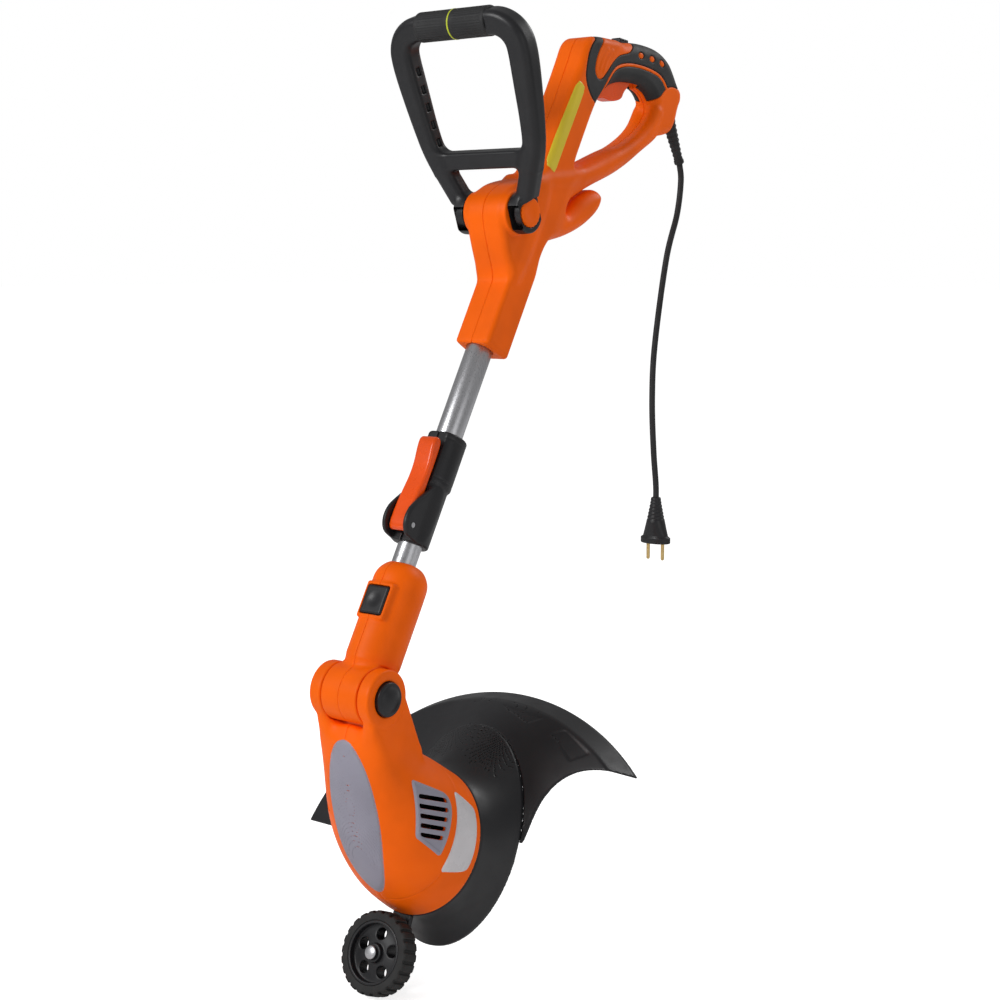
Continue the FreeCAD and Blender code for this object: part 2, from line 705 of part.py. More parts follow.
def motor_housing():
    form = housing_form("housing_form", 0)
    ears = []
    down = Rotation(Vector(1, 0, 0), 225)
    shift = down.multVec(Vector(0, 0, number("barrel_radius - 1")))
    for name, near, far in (("left", "ear_inner", "ear_outer"), ("right", "-ear_outer", "-ear_inner")):
        ears.append(x_cylinder("ear_" + name, "barrel_radius", near, far))
        lengths = ("ear_outer - ear_inner", 84, "2 * barrel_radius - 2")
        arm = box("ear_arm_" + name, lengths, (near, 0, 0), down)
        arm.setExpression("Placement.Base.y", "%.3f" % -shift.y)
        arm.setExpression("Placement.Base.z", "%.3f" % -shift.z)
        ears.append(arm)
    solid = fuse("housing_eared", form, *ears)
    room = housing_form("housing_inside", "wall")
    barrel_room = x_cylinder("barrel_room", "barrel_radius + 0.8", "-ear_inner", "ear_inner")
    stem_bore = x_cylinder("ear_stem_bore", "tilt_stem_radius + running_gap", -60, 60)
    rooms = []
    for name, near, far in (("left", "tilt_room_floor", 60), ("right", -60, "-tilt_room_floor")):
        rooms.append(x_cylinder("tilt_room_" + name, "tilt_button_radius + gap", near, far))
    below = box("below_rim", (300, 300, 60), (-150, -260, "housing_rim - 60"))
    posts = []
    post_reach = housing_form("post_reach", "wall / 2")
    for index, at in enumerate(HEAD_SCREWS):
        rod = x_cylinder("head_post_rod_%d" % index, 6, -80, 80, *at)
        posts.append(common("head_post_%d" % index, rod, post_reach))
        rooms.append(x_cylinder("head_screw_hole_%d" % index, "screw_radius", -90, "head_screw_end", *at))
        rooms.append(screw_recess("head_screw_recess_%d" % index, "head_screw_seat", at))
    shell = fuse("motor_housing_posted", cut("motor_housing_shell", solid, room), *posts)
    whole = cut("motor_housing_whole", shell, barrel_room, stem_bore, below, *rooms)
    halves(whole, "motor_housing_left", "motor_housing_right", TILT)
    screws = []
    for index, at in enumerate(HEAD_SCREWS):
        screws.append(screw("head_screw_%d" % index, at, "head_screw_seat", "head_screw_end"))
    keep_group("head_screws", TILT, *screws)
    return form


def covers(form):
    """The grey front cover, the vent grilles and the plain name plates, thin skins on the housing."""
    outer = housing_form("cover_form", -1.2)
    column = DOCUMENT.addObject("Part::Extrusion", "cover_column")
    column.Base = ellipse("cover_outline", 29, 63.5, (0, -106, -135))
    column.DirMode = "Custom"
    column.Dir = Vector(0, 0, 1)
    column.LengthFwd = 160
    column.Solid = True
    keep(cut("front_cover", common("front_cover_skin", outer, column), form), "front_cover", TILT)
    outline = ((-62, -52), (-66, -96), (-78, -104), (-124, -104), (-112, -74))
    grille_block = side_plate("grille_block", 90, outline)
    slots = []
    for index in range(5):
        slots.append(box("grille_slot_%d" % index, (200, 4, 34), (-100, -76 - 8.5 * index, -98)))
    sheet = cut("grille_sheet", common("grille_skin", outer, grille_block), form)
    grille = cut("grille_whole", sheet, *slots)
    halves(grille, "vent_grille_left", "vent_grille_right", TILT)
    plate_block = side_plate("plate_block", 90, ((-62, -112), (-72, -134), (-132, -134), (-136, -112)))
    keep(cut("name_plates", common("plate_skin", outer, plate_block), form), "name_plates", TILT)


def dome_form(name, inset):
    sections = []
    for index, (level, half_x, half_y, centre) in enumerate((
        ("housing_rim - gap", "housing_rim_radius - 1", "housing_rim_radius - 1", "motor_axis"),
        (-168, "dome_half_width - 1.5", "dome_half_length - 18", "dome_centre - 6"),
        ("dome_edge", "dome_half_width", "dome_half_length", "dome_centre"),
    )):
        inner_x = "%s - %s" % (half_x, inset)
        inner_y = "%s - %s" % (half_y, inset)
        sections.append(ellipse("%s_%d" % (name, index), inner_x, inner_y, (0, centre, level)))
    return loft(name, sections)


def guard():
    outer = dome_form("dome_outer", 0)
    inner = dome_form("dome_inner", "guard_skin")
    lid = box("dome_lid", (200, 300, "guard_skin"), (-100, -260, "housing_rim - gap - guard_skin"))
    shell = fuse("dome_shell", cut("dome_wall", outer, inner), common("dome_top", outer, lid))
    seat = cylinder("bearing_seat", "bearing_radius + 4", 12, (0, "motor_axis", "housing_rim - 12.3"))
    seat_bore = cylinder("bearing_bore", "bearing_radius", 10, (0, "motor_axis", "housing_rim - 13"))
    shaft_hole = cylinder("dome_shaft_hole", "shaft_radius + 2", 40, (0, "motor_axis", "housing_rim - 20"))
    keep(cut("guard_dome", fuse("dome_seated", shell, seat), seat_bore, shaft_hole), "guard_dome", TILT)

    skirts = []
    for name, drop in (("top", 0), ("under", "guard_skin")):
        crease_at = (0, "dome_centre", "dome_edge + 2 - %s" % drop)
        crease = ellipse("crease_" + name, "dome_half_width", "dome_half_length", crease_at)
        rim_at = (0, "wing_centre", "wing_edge - %s" % drop)
        rim = ellipse("rim_" + name, "wing_radius", "wing_radius", rim_at)
        skirts.append(loft("skirt_" + name, [crease, rim]))
    lip = cylinder("lip_outer", "wing_radius", "wing_lip", (0, "wing_centre", "wing_edge - wing_lip"))
    lip_room = cylinder("lip_inner", "wing_radius - guard_skin", 60, (0, "wing_centre", "wing_edge - 50"))
    sheet = fuse("wing_sheet", cut("skirt", *skirts), cut("lip", lip, lip_room))
    sector = wing_sector()
    plug = dome_form("dome_clearance", -0.1)
    keep(cut("guard_wing", common("wing_cut", sheet, sector), plug), "guard_wing", TILT)
    return outer


def wing_sector():
    """The part of the flared skirt that the guard keeps, seen along the motor's axis."""
    sketch = DOCUMENT.addObject("Sketcher::SketchObject", "wing_sector_outline")
    add_corners(sketch, (
        (-300, -124), (-60, -124), (-60, -85), (74, -85), (85, -40), (118, -12), (300, -8), (300, 120),
        (-300, 120),
    ))
    item = DOCUMENT.addObject("Part::Extrusion", "wing_sector")
    item.Base = sketch
    item.DirMode = "Custom"
    item.Dir = Vector(0, 0, -1)
    item.LengthFwd = 300
    item.Solid = True
    return item


def guide_wheel(dome):
    at = (0, "wheel_forward")
    plate = box("bracket_plate", (22, 60, 5.5), (-11, "wheel_forward - 9", "housing_rim - 6"))
    post = cylinder("bracket_post", 9, 12, (*at, "housing_rim - 6"))
    hole = cylinder("bracket_hole", "wheel_axle_radius", 80, (*at, "housing_rim - 40"))
    rounded = fuse("bracket_solid", plate, post)
    keep(cut("wheel_bracket", rounded, hole, dome), "wheel_bracket", TILT)
    rod = cylinder("wheel_axle_rod", "wheel_axle_radius", 38, (*at, "housing_rim - 6"))
    head = cylinder("wheel_axle_head", "wheel_axle_radius + 2.5", 2.5, (*at, "housing_rim + 30.5"))
    keep_group("wheel_axle", TILT, fuse("wheel_axle_solid", rod, head))

    base = "wheel_level - wheel_width / 2"
    disc = cylinder("hub_disc", "wheel_rim_radius", "wheel_width", (*at, base))
    dish = cylinder("hub_dish", "wheel_rim_radius - 3", 6, (*at, "wheel_level + wheel_width / 2 - 5"))
    boss = cylinder("hub_boss", 9, "wheel_width", (*at, base))
    bore = cylinder("hub_bore", "wheel_axle_radius + running_gap", 60, (*at, "wheel_level - 30"))
    windows = []
    for index in range(5):
        angle = math.radians(90 + 72 * index)
        forward = "wheel_forward + %.4f" % (18.5 * math.sin(angle))
        spot = (18.5 * math.cos(angle), forward, "wheel_level - 30")
        windows.append(cylinder("hub_window_%d" % index, 5.6, 60, spot))
    dished = fuse("hub_solid", cut("hub_dished", disc, dish), boss)
    keep(cut("wheel_hub", dished, bore, *windows), "wheel_hub", TILT)

    tread = cylinder("tyre_solid", "wheel_radius", "wheel_width", (*at, base))
    inside = cylinder("tyre_inside", "wheel_rim_radius", 60, (*at, "wheel_level - 30"))
    grooves = []
    for index in range(24):
        turn = Rotation(Vector(0, 0, 1), 15 * index)
        corner = turn.multVec(Vector(number("wheel_radius") - 2.6, -1.6, 0))
        groove = box("tread_groove_%d" % index, (10, 3.2, 60), (0, 0, "wheel_level - 30"), turn)
        groove.setExpression("Placement.Base.x", "%.4f" % corner.x)
        groove.setExpression("Placement.Base.y", formula("wheel_forward + %.4f" % corner.y))
        grooves.append(groove)
    keep(cut("wheel_tyre", tread, inside, *grooves), "wheel_tyre", TILT)


# Motor and spool, turned about the motor's axis


def motor():
    axis = TILT.multiply(Placement(Vector(0, number("motor_axis"), 0), UPRIGHT))

    def ring(label, inner, outer, bottom, top):
        turned_body(label, ((inner, bottom), (outer, bottom), (outer, top), (inner, top)), axis)

    ring("motor_shaft", 0, "shaft_radius", -228, -56)
    races = []
    for name, bottom in (("upper", -64), ("lower", "housing_rim - 12")):
        race = cylinder("race_" + name, "bearing_radius", 8, (0, 0, bottom))
        bore = cylinder("race_bore_" + name, "shaft_radius + running_gap", 8, (0, 0, bottom))
        races.append(cut("bearing_" + name, race, bore))
    keep_group("motor_bearings", axis, *races)
    ring("motor_stator", "motor_radius - 8", "motor_radius", -114, -78)
    ring("armature", "shaft_radius", "motor_radius - 9", -112, -80)
    ring("commutator", "shaft_radius", 11.5, -77, -66)
    turned_body("cooling_fan", (
        ("shaft_radius", -136), (12, -136), ("fan_radius", -132), ("fan_radius", -122), (12, -128),
        ("shaft_radius", -128),
    ), axis)
    brushes = []
    for name, start in (("left", 11.7), ("right", -25.7)):
        brushes.append(box("brush_" + name, (14, 8, 8), (start, -4, -76)))
    keep_group("carbon_brushes", axis, *brushes)


def spool():
    axis = TILT.multiply(Placement(Vector(0, number("motor_axis"), 0), UPRIGHT))
    cup = DOCUMENT.addObject("PartDesign::Body", "drum_cup")
    outline = cup.newObject("Sketcher::SketchObject", "drum_profile")
    outline.AttachmentSupport = (origin_plane(cup, "XZ_Plane"), [""])
    outline.MapMode = "FlatFace"
    add_corners(outline, (
        ("shaft_radius", "drum_top"), ("drum_radius - 5", "drum_top"), ("drum_radius", "drum_top - 5"),
        ("drum_radius", "drum_bottom + 3"), ("drum_radius - 2.5", "drum_bottom + 3"),
        ("drum_radius - 2.5", "drum_top - 3"), (8, "drum_top - 3"), (8, "drum_top - 5.5"),
        ("shaft_radius", "drum_top - 5.5"),
    ))
    turn = cup.newObject("PartDesign::Revolution", "drum_turn")
    turn.Profile = outline
    turn.ReferenceAxis = (outline, ["V_Axis"])
    turn.Angle = 360
    eyelet = cylinder("drum_eyelet", "line_radius + 1.2", 60, (0, 20, "line_level"), ALONG_Y)
    keep(cut("spool_drum", cup, eyelet), "spool_drum", axis)
    turned_body("drum_cover", (
        ("knob_radius + 1.5", "drum_bottom"), ("drum_radius", "drum_bottom"),
        ("drum_radius", "drum_bottom + 2.9"), ("knob_radius + 1.5", "drum_bottom + 2.9"),
    ), axis)
    turned_body("spool", (
        ("shaft_radius + gap / 2", -207), (36, -207), (36, -209), (10, -209), (10, -229), (36, -229),
        (36, -231), (10, -231), (10, -235.9), ("shaft_radius + gap / 2", -235.9),
    ), axis)
    turned_body("line_coil", ((10.1, -228.9), (30, -228.9), (30, -209.1), (10.1, -209.1)), axis)
    turned_body("bump_knob", (
        (0, "knob_bottom"), (9, "knob_bottom"), (17, "knob_bottom + 2"), ("knob_radius", "knob_bottom + 6"),
        ("knob_radius", -236), (0, -236),
    ), axis)
    tail = cylinder("line_tail", "line_radius", "line_reach - 38", (0, 38, "line_level"), ALONG_Y)
    keep_group("cutting_line", axis, tail)
    spring("bump_spring", 13, 1, 7, 2, axis.multiply(Placement(Vector(0, 0, -207), UPRIGHT)))


# Cord and plug, in the row frame


def cord():
    along = CORD_TIP - CORD_START
    boot = Part.makeCone(8, 4.6, along.Length)
    boot = boot.cut(Part.makeCylinder(number("cord_radius"), along.Length))
    computed("cord_boot", boot, LEAN.multiply(Placement(CORD_START, Rotation(Vector(0, 0, 1), along))))
    top = number("plug_bottom") + 52
    setback = number("plug_setback")
    points = [
        LEAN.multVec(CORD_TIP), Vector(0, setback + 43, 771), Vector(0, setback + 36, 735),
        Vector(0, setback + 15, 685), Vector(0, setback - 6, 592), Vector(0, setback - 10, 532),
        Vector(0, setback - 6, 476), Vector(0, setback - 0.5, top + 14), Vector(0, setback, top - 6),
    ]
    computed("power_cord", rod_along(points, number("cord_radius")), GROUND)
    shank = cone("plug_shank", 11, 5, 34, (0, "plug_setback", "plug_bottom + 18"))
    flange = loft("plug_flange", [
        ellipse("flange_low", 18.5, 10.5, (0, "plug_setback", "plug_bottom")),
        ellipse("flange_high", 18.5, 10.5, (0, "plug_setback", "plug_bottom + 7")),
    ])
    waist = loft("plug_waist", [
        ellipse("waist_low", 16, 9, (0, "plug_setback", "plug_bottom + 7")),
        ellipse("waist_high", 12.5, 10, (0, "plug_setback", "plug_bottom + 18")),
    ])
    cord_at = (0, "plug_setback", "plug_bottom + 44")
    cord_room = cylinder("plug_cord_room", "cord_radius + 2 * gap", 30, cord_at)
    keep(cut("plug_body", fuse("plug_solid", shank, flange, waist), cord_room), "plug_body", GROUND)
    pins = []
    for name, side in (("left", "plug_pin_spacing / 2"), ("right", "-plug_pin_spacing / 2")):
        at = (side, "plug_setback", "plug_bottom - plug_pin_length")
        pins.append(cylinder("plug_pin_" + name, "plug_pin_radius", "plug_pin_length", at))
    keep_group("plug_pins", GROUND, *pins)


def write_parts():
    """Check every object and write each sub-part to its own STEP file."""
    DOCUMENT.recompute()
    failed = [item.Name for item in DOCUMENT.Objects if {"Invalid", "Error"} & set(item.State)]
    if failed:
        raise RuntimeError("objects that failed: " + ", ".join(failed))
    for item in NODES:
        if item.Shape.isNull() or not item.Shape.isValid():
            raise RuntimeError("bad shape: " + item.Label)
    os.makedirs("parts", exist_ok=True)
    for item in NODES:
        item.Shape.exportStep(os.path.join("parts", item.Label + ".step"))


def main():
    tubes()
    clamp_collar()
    clamp_lever()
    rear_housing()
    trigger_group()
    front_handle()
    neck()
    tilt_buttons()
    form = motor_housing()
    covers(form)
    dome = guard()
    guide_wheel(dome)
    motor()
    spool()
    cord()
    write_parts()


main()
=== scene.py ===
import functools
import json
import math

import bpy
import numpy as np
from mathutils import Matrix, Vector


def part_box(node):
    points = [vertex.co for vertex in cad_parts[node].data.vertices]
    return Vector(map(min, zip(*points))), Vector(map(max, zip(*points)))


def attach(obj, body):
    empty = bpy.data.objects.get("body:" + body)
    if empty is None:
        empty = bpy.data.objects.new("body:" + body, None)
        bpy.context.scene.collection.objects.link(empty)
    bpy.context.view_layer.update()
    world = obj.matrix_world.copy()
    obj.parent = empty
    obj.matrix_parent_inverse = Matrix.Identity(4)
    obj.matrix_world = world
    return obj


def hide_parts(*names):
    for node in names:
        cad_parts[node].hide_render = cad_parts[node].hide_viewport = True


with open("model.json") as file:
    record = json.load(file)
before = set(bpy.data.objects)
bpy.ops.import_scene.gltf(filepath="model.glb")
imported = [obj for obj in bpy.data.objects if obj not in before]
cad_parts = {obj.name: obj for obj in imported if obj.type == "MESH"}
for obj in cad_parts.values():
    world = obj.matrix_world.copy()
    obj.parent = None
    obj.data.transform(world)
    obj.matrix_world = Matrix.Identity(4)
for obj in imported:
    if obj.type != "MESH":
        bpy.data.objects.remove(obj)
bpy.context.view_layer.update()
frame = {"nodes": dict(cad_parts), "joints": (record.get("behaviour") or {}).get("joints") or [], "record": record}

# Looks of the corded lawn edger. A moulded piece is a distance field: a function of x, y and z in millimetres
# of a local frame, negative inside the piece and positive outside. mesh_field() draws its surface.

MM = 0.001
NODES = frame["nodes"]
JOINTS = {joint["name"]: joint for joint in frame["joints"]}
SLOT_OF = {part["node"]: part["material_slot"] for part in frame["record"]["subparts"]}
BODY_OF = {node: body for body, nodes in frame["record"]["behaviour"]["bodies"].items() for node in nodes}


# Local frames, taken from the joints


def local_frame(origin, up):
    """From millimetres, with X across and Z along up, to the row frame's metres."""
    across = Vector((1, 0, 0))
    up = Vector(up).normalized()
    turn = Matrix((across, up.cross(across), up)).transposed()
    return Matrix.Translation(origin) @ turn.to_4x4() @ Matrix.Scale(MM, 4)


def middle_of(node):
    low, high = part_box(node)
    return (low + high) / 2


PIVOT = Vector(JOINTS["head_tilt"]["pos_m"])
HANDLE_PIVOT = Vector(JOINTS["front_handle_tilt"]["pos_m"])
POLE = local_frame(PIVOT, JOINTS["neck_swivel"]["axis"])
HEAD = local_frame(PIVOT, JOINTS["motor_spin"]["axis"])
HANDLE = local_frame(HANDLE_PIVOT, middle_of("front_handle_grip") - HANDLE_PIVOT)
ROW = Matrix.Scale(MM, 4)

_, MOTOR_V, _ = HEAD.inverted() @ Vector(JOINTS["motor_spin"]["pos_m"])
_, BOSS_Y, BOSS_Z = POLE.inverted() @ HANDLE_PIVOT
_, LEVER_Y, LEVER_Z = POLE.inverted() @ Vector(JOINTS["clamp_lever_open"]["pos_m"])


# Distance fields


def soft_min(a, b, soft):
    """The union of two fields with a fillet about as wide as soft."""
    share = np.clip(0.5 + 0.5 * (b - a) / soft, 0, 1)
    return b + (a - b) * share - soft * share * (1 - share)


def soft_max(a, b, soft):
    """The overlap of two fields with its edge rounded."""
    return -soft_min(-a, -b, soft)


def union(*fields):
    return functools.reduce(np.minimum, fields)


def wave(phase):
    """0 to 1 and back, once per turn."""
    return 0.5 - 0.5 * np.cos(phase)


def ramp(value, start, end):
    """0 before start and 1 after end, smooth between."""
    share = np.clip((value - start) / (end - start), 0, 1)
    return share * share * (3 - 2 * share)


def slab(across, beside, rounding):
    """The overlap of two fields at right angles, with its outer edge rounded to a radius."""
    a = across + rounding
    b = beside + rounding
    return np.hypot(np.maximum(a, 0), np.maximum(b, 0)) + np.minimum(np.maximum(a, b), 0) - rounding


def disc(a, b, radius, along, half, rounding=0.5):
    """A cylinder of a radius in the plane of a and b and of a half length along the third axis."""
    return slab(np.hypot(a, b) - radius, np.abs(along) - half, rounding)


def block(x, y, z, halves, rounding):
    """A box with rounded edges, centred on the origin."""
    q = [np.abs(v) - half + rounding for v, half in zip((x, y, z), halves)]
    outside = np.sqrt(sum(np.maximum(v, 0) ** 2 for v in q))
    return outside + np.minimum(np.maximum(np.maximum(q[0], q[1]), q[2]), 0) - rounding


def turned(a, b, degrees, centre):
    """Coordinates about a centre, turned in their plane."""
    c, s = math.cos(math.radians(degrees)), math.sin(math.radians(degrees))
    a = a - centre[0]
    b = b - centre[1]
    return a * c + b * s, b * c - a * s


def cut_corners(points, rounds, closed):
    """Chaikin's corner cutting, which turns a coarse outline into a smooth one."""
    for _ in range(rounds):
        after = np.roll(points, -1, axis=0)
        pairs = np.stack((0.75 * points + 0.25 * after, 0.25 * points + 0.75 * after), axis=1)
        if closed:
            points = pairs.reshape(-1, 2)
        else:
            points = np.concatenate((points[:1], pairs[:-1].reshape(-1, 2), points[-1:]))
    return points


class Outline:
    """The distance to a smooth outline in a plane, kept in a table so that it's quick to read."""

    CELL = 1.0
    MARGIN = 16.0

    def __init__(self, corners, closed=True, rounds=4):
        points = cut_corners(np.array(corners, float), rounds, closed)
        self.low = points.min(axis=0) - self.MARGIN
        self.size = np.ceil((points.max(axis=0) + self.MARGIN - self.low) / self.CELL).astype(int) + 1
        lines = (low + self.CELL * np.arange(count) for low, count in zip(self.low, self.size))
        a, b = np.meshgrid(*lines, indexing="ij")
        nearest = np.full(a.shape, np.inf)
        inside = np.zeros(a.shape, bool)
        ends = np.roll(points, -1, axis=0)
        for (a0, b0), (a1, b1) in zip(points if closed else points[:-1], ends):
            da, db = a1 - a0, b1 - b0
            length = da * da + db * db
            if length < 1e-12:
                continue
            share = np.clip(((a - a0) * da + (b - b0) * db) / length, 0, 1)
            nearest = np.minimum(nearest, (a - a0 - share * da) ** 2 + (b - b0 - share * db) ** 2)
            if closed and db:
                inside ^= ((b0 > b) != (b1 > b)) & (a < a0 + da * (b - b0) / db)
        self.table = np.sqrt(nearest) * np.where(inside, -1, 1)

    def __call__(self, a, b):
        spots = []
        beyond = 0.0
        for value, low, count in zip((a, b), self.low, self.size):
            spot = (value - low) / self.CELL
            held = np.clip(spot, 0, count - 1.001)
            beyond = beyond + np.abs(spot - held)
            spots.append(held)
        i, j = (spot.astype(int) for spot in spots)
        u, v = spots[0] - i, spots[1] - j
        table = self.table
        near = table[i, j] * (1 - u) + table[i + 1, j] * u
        far = table[i, j + 1] * (1 - u) + table[i + 1, j + 1] * u
        return near * (1 - v) + far * v + beyond * self.CELL * 0.7


# Meshes from fields

BLOCK = 8  # grid points along a block
REACH = 1.6  # blocks whose middle lies nearer the surface than this many of their sides are filled in
PROJECTIONS = 3


def sample(field, low, high, step):
    """The field on a grid of cubes. Blocks of the grid that the surface can't pass hold only a sign."""
    low = np.array(low, float)
    counts = np.ceil((np.array(high) - low) / (step * BLOCK)).astype(int)
    side = step * BLOCK
    centres = low + (np.indices(counts).reshape(3, -1).T + 0.5) * side
    middle = field(*centres.T).reshape(counts)
    grid = np.empty((*counts, BLOCK, BLOCK, BLOCK), np.float32)
    grid[:] = np.sign(middle)[..., None, None, None] * side
    near = np.argwhere(np.abs(middle) < REACH * side)
    inner = np.indices((BLOCK,) * 3).reshape(3, -1).T * step
    points = (low + near * side)[:, None, :] + inner
    grid[tuple(near.T)] = field(*points.reshape(-1, 3).T).reshape(-1, BLOCK, BLOCK, BLOCK)
    return grid.transpose(0, 3, 1, 4, 2, 5).reshape(counts * BLOCK)


def shifted(grid, offset):
    """The grid's values at each cell's corner, for one of its eight corners."""
    return grid[tuple(slice(o, n - 1 + o) for o, n in zip(offset, grid.shape))]


def surface_net(grid):
    """Vertices, in grid steps, and quads of the surface between the grid's negative and positive points."""
    solid = grid < 0
    corners = list(np.ndindex(2, 2, 2))
    full = sum(shifted(solid, corner).astype(np.int8) for corner in corners)
    mixed = (full > 0) & (full < 8)
    cells = np.argwhere(mixed)
    index = np.full(mixed.shape, -1, np.int32)
    index[mixed] = np.arange(len(cells))
    total = np.zeros(cells.shape)
    crossings = np.zeros((len(cells), 1))
    for axis in range(3):
        along = np.eye(3, dtype=int)[axis]
        for corner in corners:
            if corner[axis]:
                continue
            start = cells + corner
            a = grid[tuple(start.T)]
            b = grid[tuple((start + along).T)]
            crosses = ((a < 0) != (b < 0))[:, None]
            share = (a / np.where(a == b, 1, a - b))[:, None]
            total += np.where(crosses, start + share * along, 0)
            crossings += crosses
    quads = []
    for axis in range(3):
        along, u, v = (np.eye(3, dtype=int)[(axis + n) % 3] for n in range(3))
        low = tuple(slice(0, n - 1) if a == axis else slice(1, n - 1) for a, n in enumerate(grid.shape))
        high = tuple(slice(1, n) if a == axis else slice(1, n - 1) for a, n in enumerate(grid.shape))
        changes = solid[low] != solid[high]
        edges = np.argwhere(changes) + u + v
        around = [index[tuple((edges - shift).T)] for shift in (u + v, v, 0 * u, u)]
        ring = np.stack(around, axis=1)
        outward = solid[low][changes]
        quads.append(np.where(outward[:, None], ring, ring[:, ::-1]))
    return total / crossings, np.concatenate(quads)


def slope(field, points, step):
    """The field's gradient at points."""
    sides = []
    for axis in range(3):
        shift = np.zeros(3)
        shift[axis] = step
        sides.append((field(*(points + shift).T) - field(*(points - shift).T)) / (2 * step))
    return np.stack(sides, axis=1)


def mesh_field(field, low, high, step):
    """Vertices and quads of a field's surface, drawn onto it so that flat faces are flat."""
    points, quads = surface_net(sample(field, low, high, step))
    points = np.array(low, float) + points * step
    for _ in range(PROJECTIONS):
        steepest = slope(field, points, 0.2 * step)
        reach = np.maximum((steepest**2).sum(axis=1), 0.2)
        move = np.clip(field(*points.T) / reach, -0.5 * step, 0.5 * step)
        points -= steepest * move[:, None] * 0.8
    return points, quads


# Pieces


def make_mesh(name, points, faces, place):
    """A mesh of quads or of mixed faces, placed in the row frame."""
    mesh = bpy.data.meshes.new(name)
    points = np.asarray(points, float)
    matrix = np.array(place)
    placed = points @ matrix[:3, :3].T + matrix[:3, 3]
    if isinstance(faces, np.ndarray):
        mesh.vertices.add(len(placed))
        mesh.vertices.foreach_set("co", placed.astype(np.float32).ravel())
        mesh.loops.add(faces.size)
        mesh.loops.foreach_set("vertex_index", faces.astype(np.int32).ravel())
        mesh.polygons.add(len(faces))
        mesh.polygons.foreach_set("loop_start", np.arange(0, faces.size, faces.shape[1], dtype=np.int32))
        mesh.update(calc_edges=True)
    else:
        mesh.from_pydata([tuple(point) for point in placed], [], [tuple(face) for face in faces])
    mesh.validate()
    mesh.shade_smooth()
    return mesh


def add_piece(name, points, faces, place, node, crease=None):
    """A piece that stands for a CAD node, on the node's body and with its finish."""
    piece = add_inlay(name, points, faces, place, SLOT_OF[node], BODY_OF[node], FINISH[SLOT_OF[node]], crease)
    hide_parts(node)


def add_inlay(name, points, faces, place, slot, body, material, crease=None):
    """A piece on a body, with no CAD node of its own."""
    mesh = make_mesh(name, points, faces, place)
    if crease is not None:
        mesh.set_sharp_from_angle(angle=math.radians(crease))
    piece = bpy.data.objects.new(name, mesh)
    bpy.context.scene.collection.objects.link(piece)
    mesh.materials.append(material)
    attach(piece, body)
    return piece


def add_field(name, field, low, high, step, place, node):
    add_piece(name, *mesh_field(field, low, high, step), place, node)


def both_sides(name, field_of, low, high, step, place, node):
    """A piece on the left, within low and high, and one on the right. field_of takes 1 or -1 for the side."""
    for side, sign in (("left", 1), ("right", -1)):
        ends = sorted((sign * low[0], sign * high[0]))
        corners = [(end, *corner[1:]) for end, corner in zip(ends, (low, high))]
        add_field(name + side, field_of(sign), *corners, step, place, node + side)


def strip_quads(rows, columns, closed_rows):
    """Quads of a grid of vertices, rows first, whose columns close on themselves."""
    last_row = rows if closed_rows else rows - 1
    i, j = np.meshgrid(np.arange(last_row), np.arange(columns), indexing="ij")
    i, j = i.ravel(), j.ravel()
    down = (i + 1) % rows
    across = (j + 1) % columns
    here = i * columns
    below = down * columns
    return np.stack((here + j, here + across, below + across, below + j), 1)


def lathe(profile, count, carve=None):
    """A closed outline of radius and height pairs turned about Z. carve changes the radius with the angle."""
    angles = np.linspace(0, 2 * math.pi, count, endpoint=False)
    profile = np.array(profile, float)
    radius = np.repeat(profile[:, :1], count, axis=1)
    if carve is not None:
        radius = carve(radius, angles[None, :])
    height = np.repeat(profile[:, 1:], count, 1)
    points = np.stack((radius * np.cos(angles), radius * np.sin(angles), height), -1)
    return points.reshape(-1, 3), strip_quads(len(profile), count, True)


def smooth_path(points, count):
    """Points evenly spaced along a smooth curve, by Catmull and Rom's spline."""
    points = np.array(points, float)
    ends = np.vstack((2 * points[0] - points[1], points, 2 * points[-1] - points[-2]))
    curve = []
    for a, b, c, d in zip(ends, ends[1:], ends[2:], ends[3:]):
        for t in np.linspace(0, 1, 24, endpoint=False):
            square = (2 * a - 5 * b + 4 * c - d) * t**2
            cube = (3 * b - a - 3 * c + d) * t**3
            curve.append(0.5 * (2 * b + (c - a) * t + square + cube))
    curve = np.array(curve + [points[-1]])
    along = np.concatenate(([0], np.cumsum(np.linalg.norm(np.diff(curve, axis=0), axis=1))))
    stations = np.linspace(0, along[-1], count)
    return np.stack([np.interp(stations, along, column) for column in curve.T], 1)


def swept(path, radii, sides=28):
    """A round rod along a path that lies near one plane, with end caps."""
    ahead = np.gradient(path, axis=0)
    ahead /= np.linalg.norm(ahead, axis=1)[:, None]
    across = np.tile((1.0, 0.0, 0.0), (len(path), 1))
    across -= ahead * (across * ahead).sum(axis=1)[:, None]
    across /= np.linalg.norm(across, axis=1)[:, None]
    beside = np.cross(ahead, across)
    angles = np.linspace(0, 2 * math.pi, sides, endpoint=False)
    ring = across[:, None] * np.cos(angles)[:, None] + beside[:, None] * np.sin(angles)[:, None]
    points = path[:, None] + ring * np.asarray(radii, float)[:, None, None]
    faces = [tuple(face) for face in strip_quads(len(path), sides, False)[:, ::-1]]
    faces.append(tuple(range(sides)))
    faces.append(tuple(range(len(path) * sides - 1, (len(path) - 1) * sides - 1, -1)))
    return points.reshape(-1, 3), [face[::-1] for face in faces]


# Materials


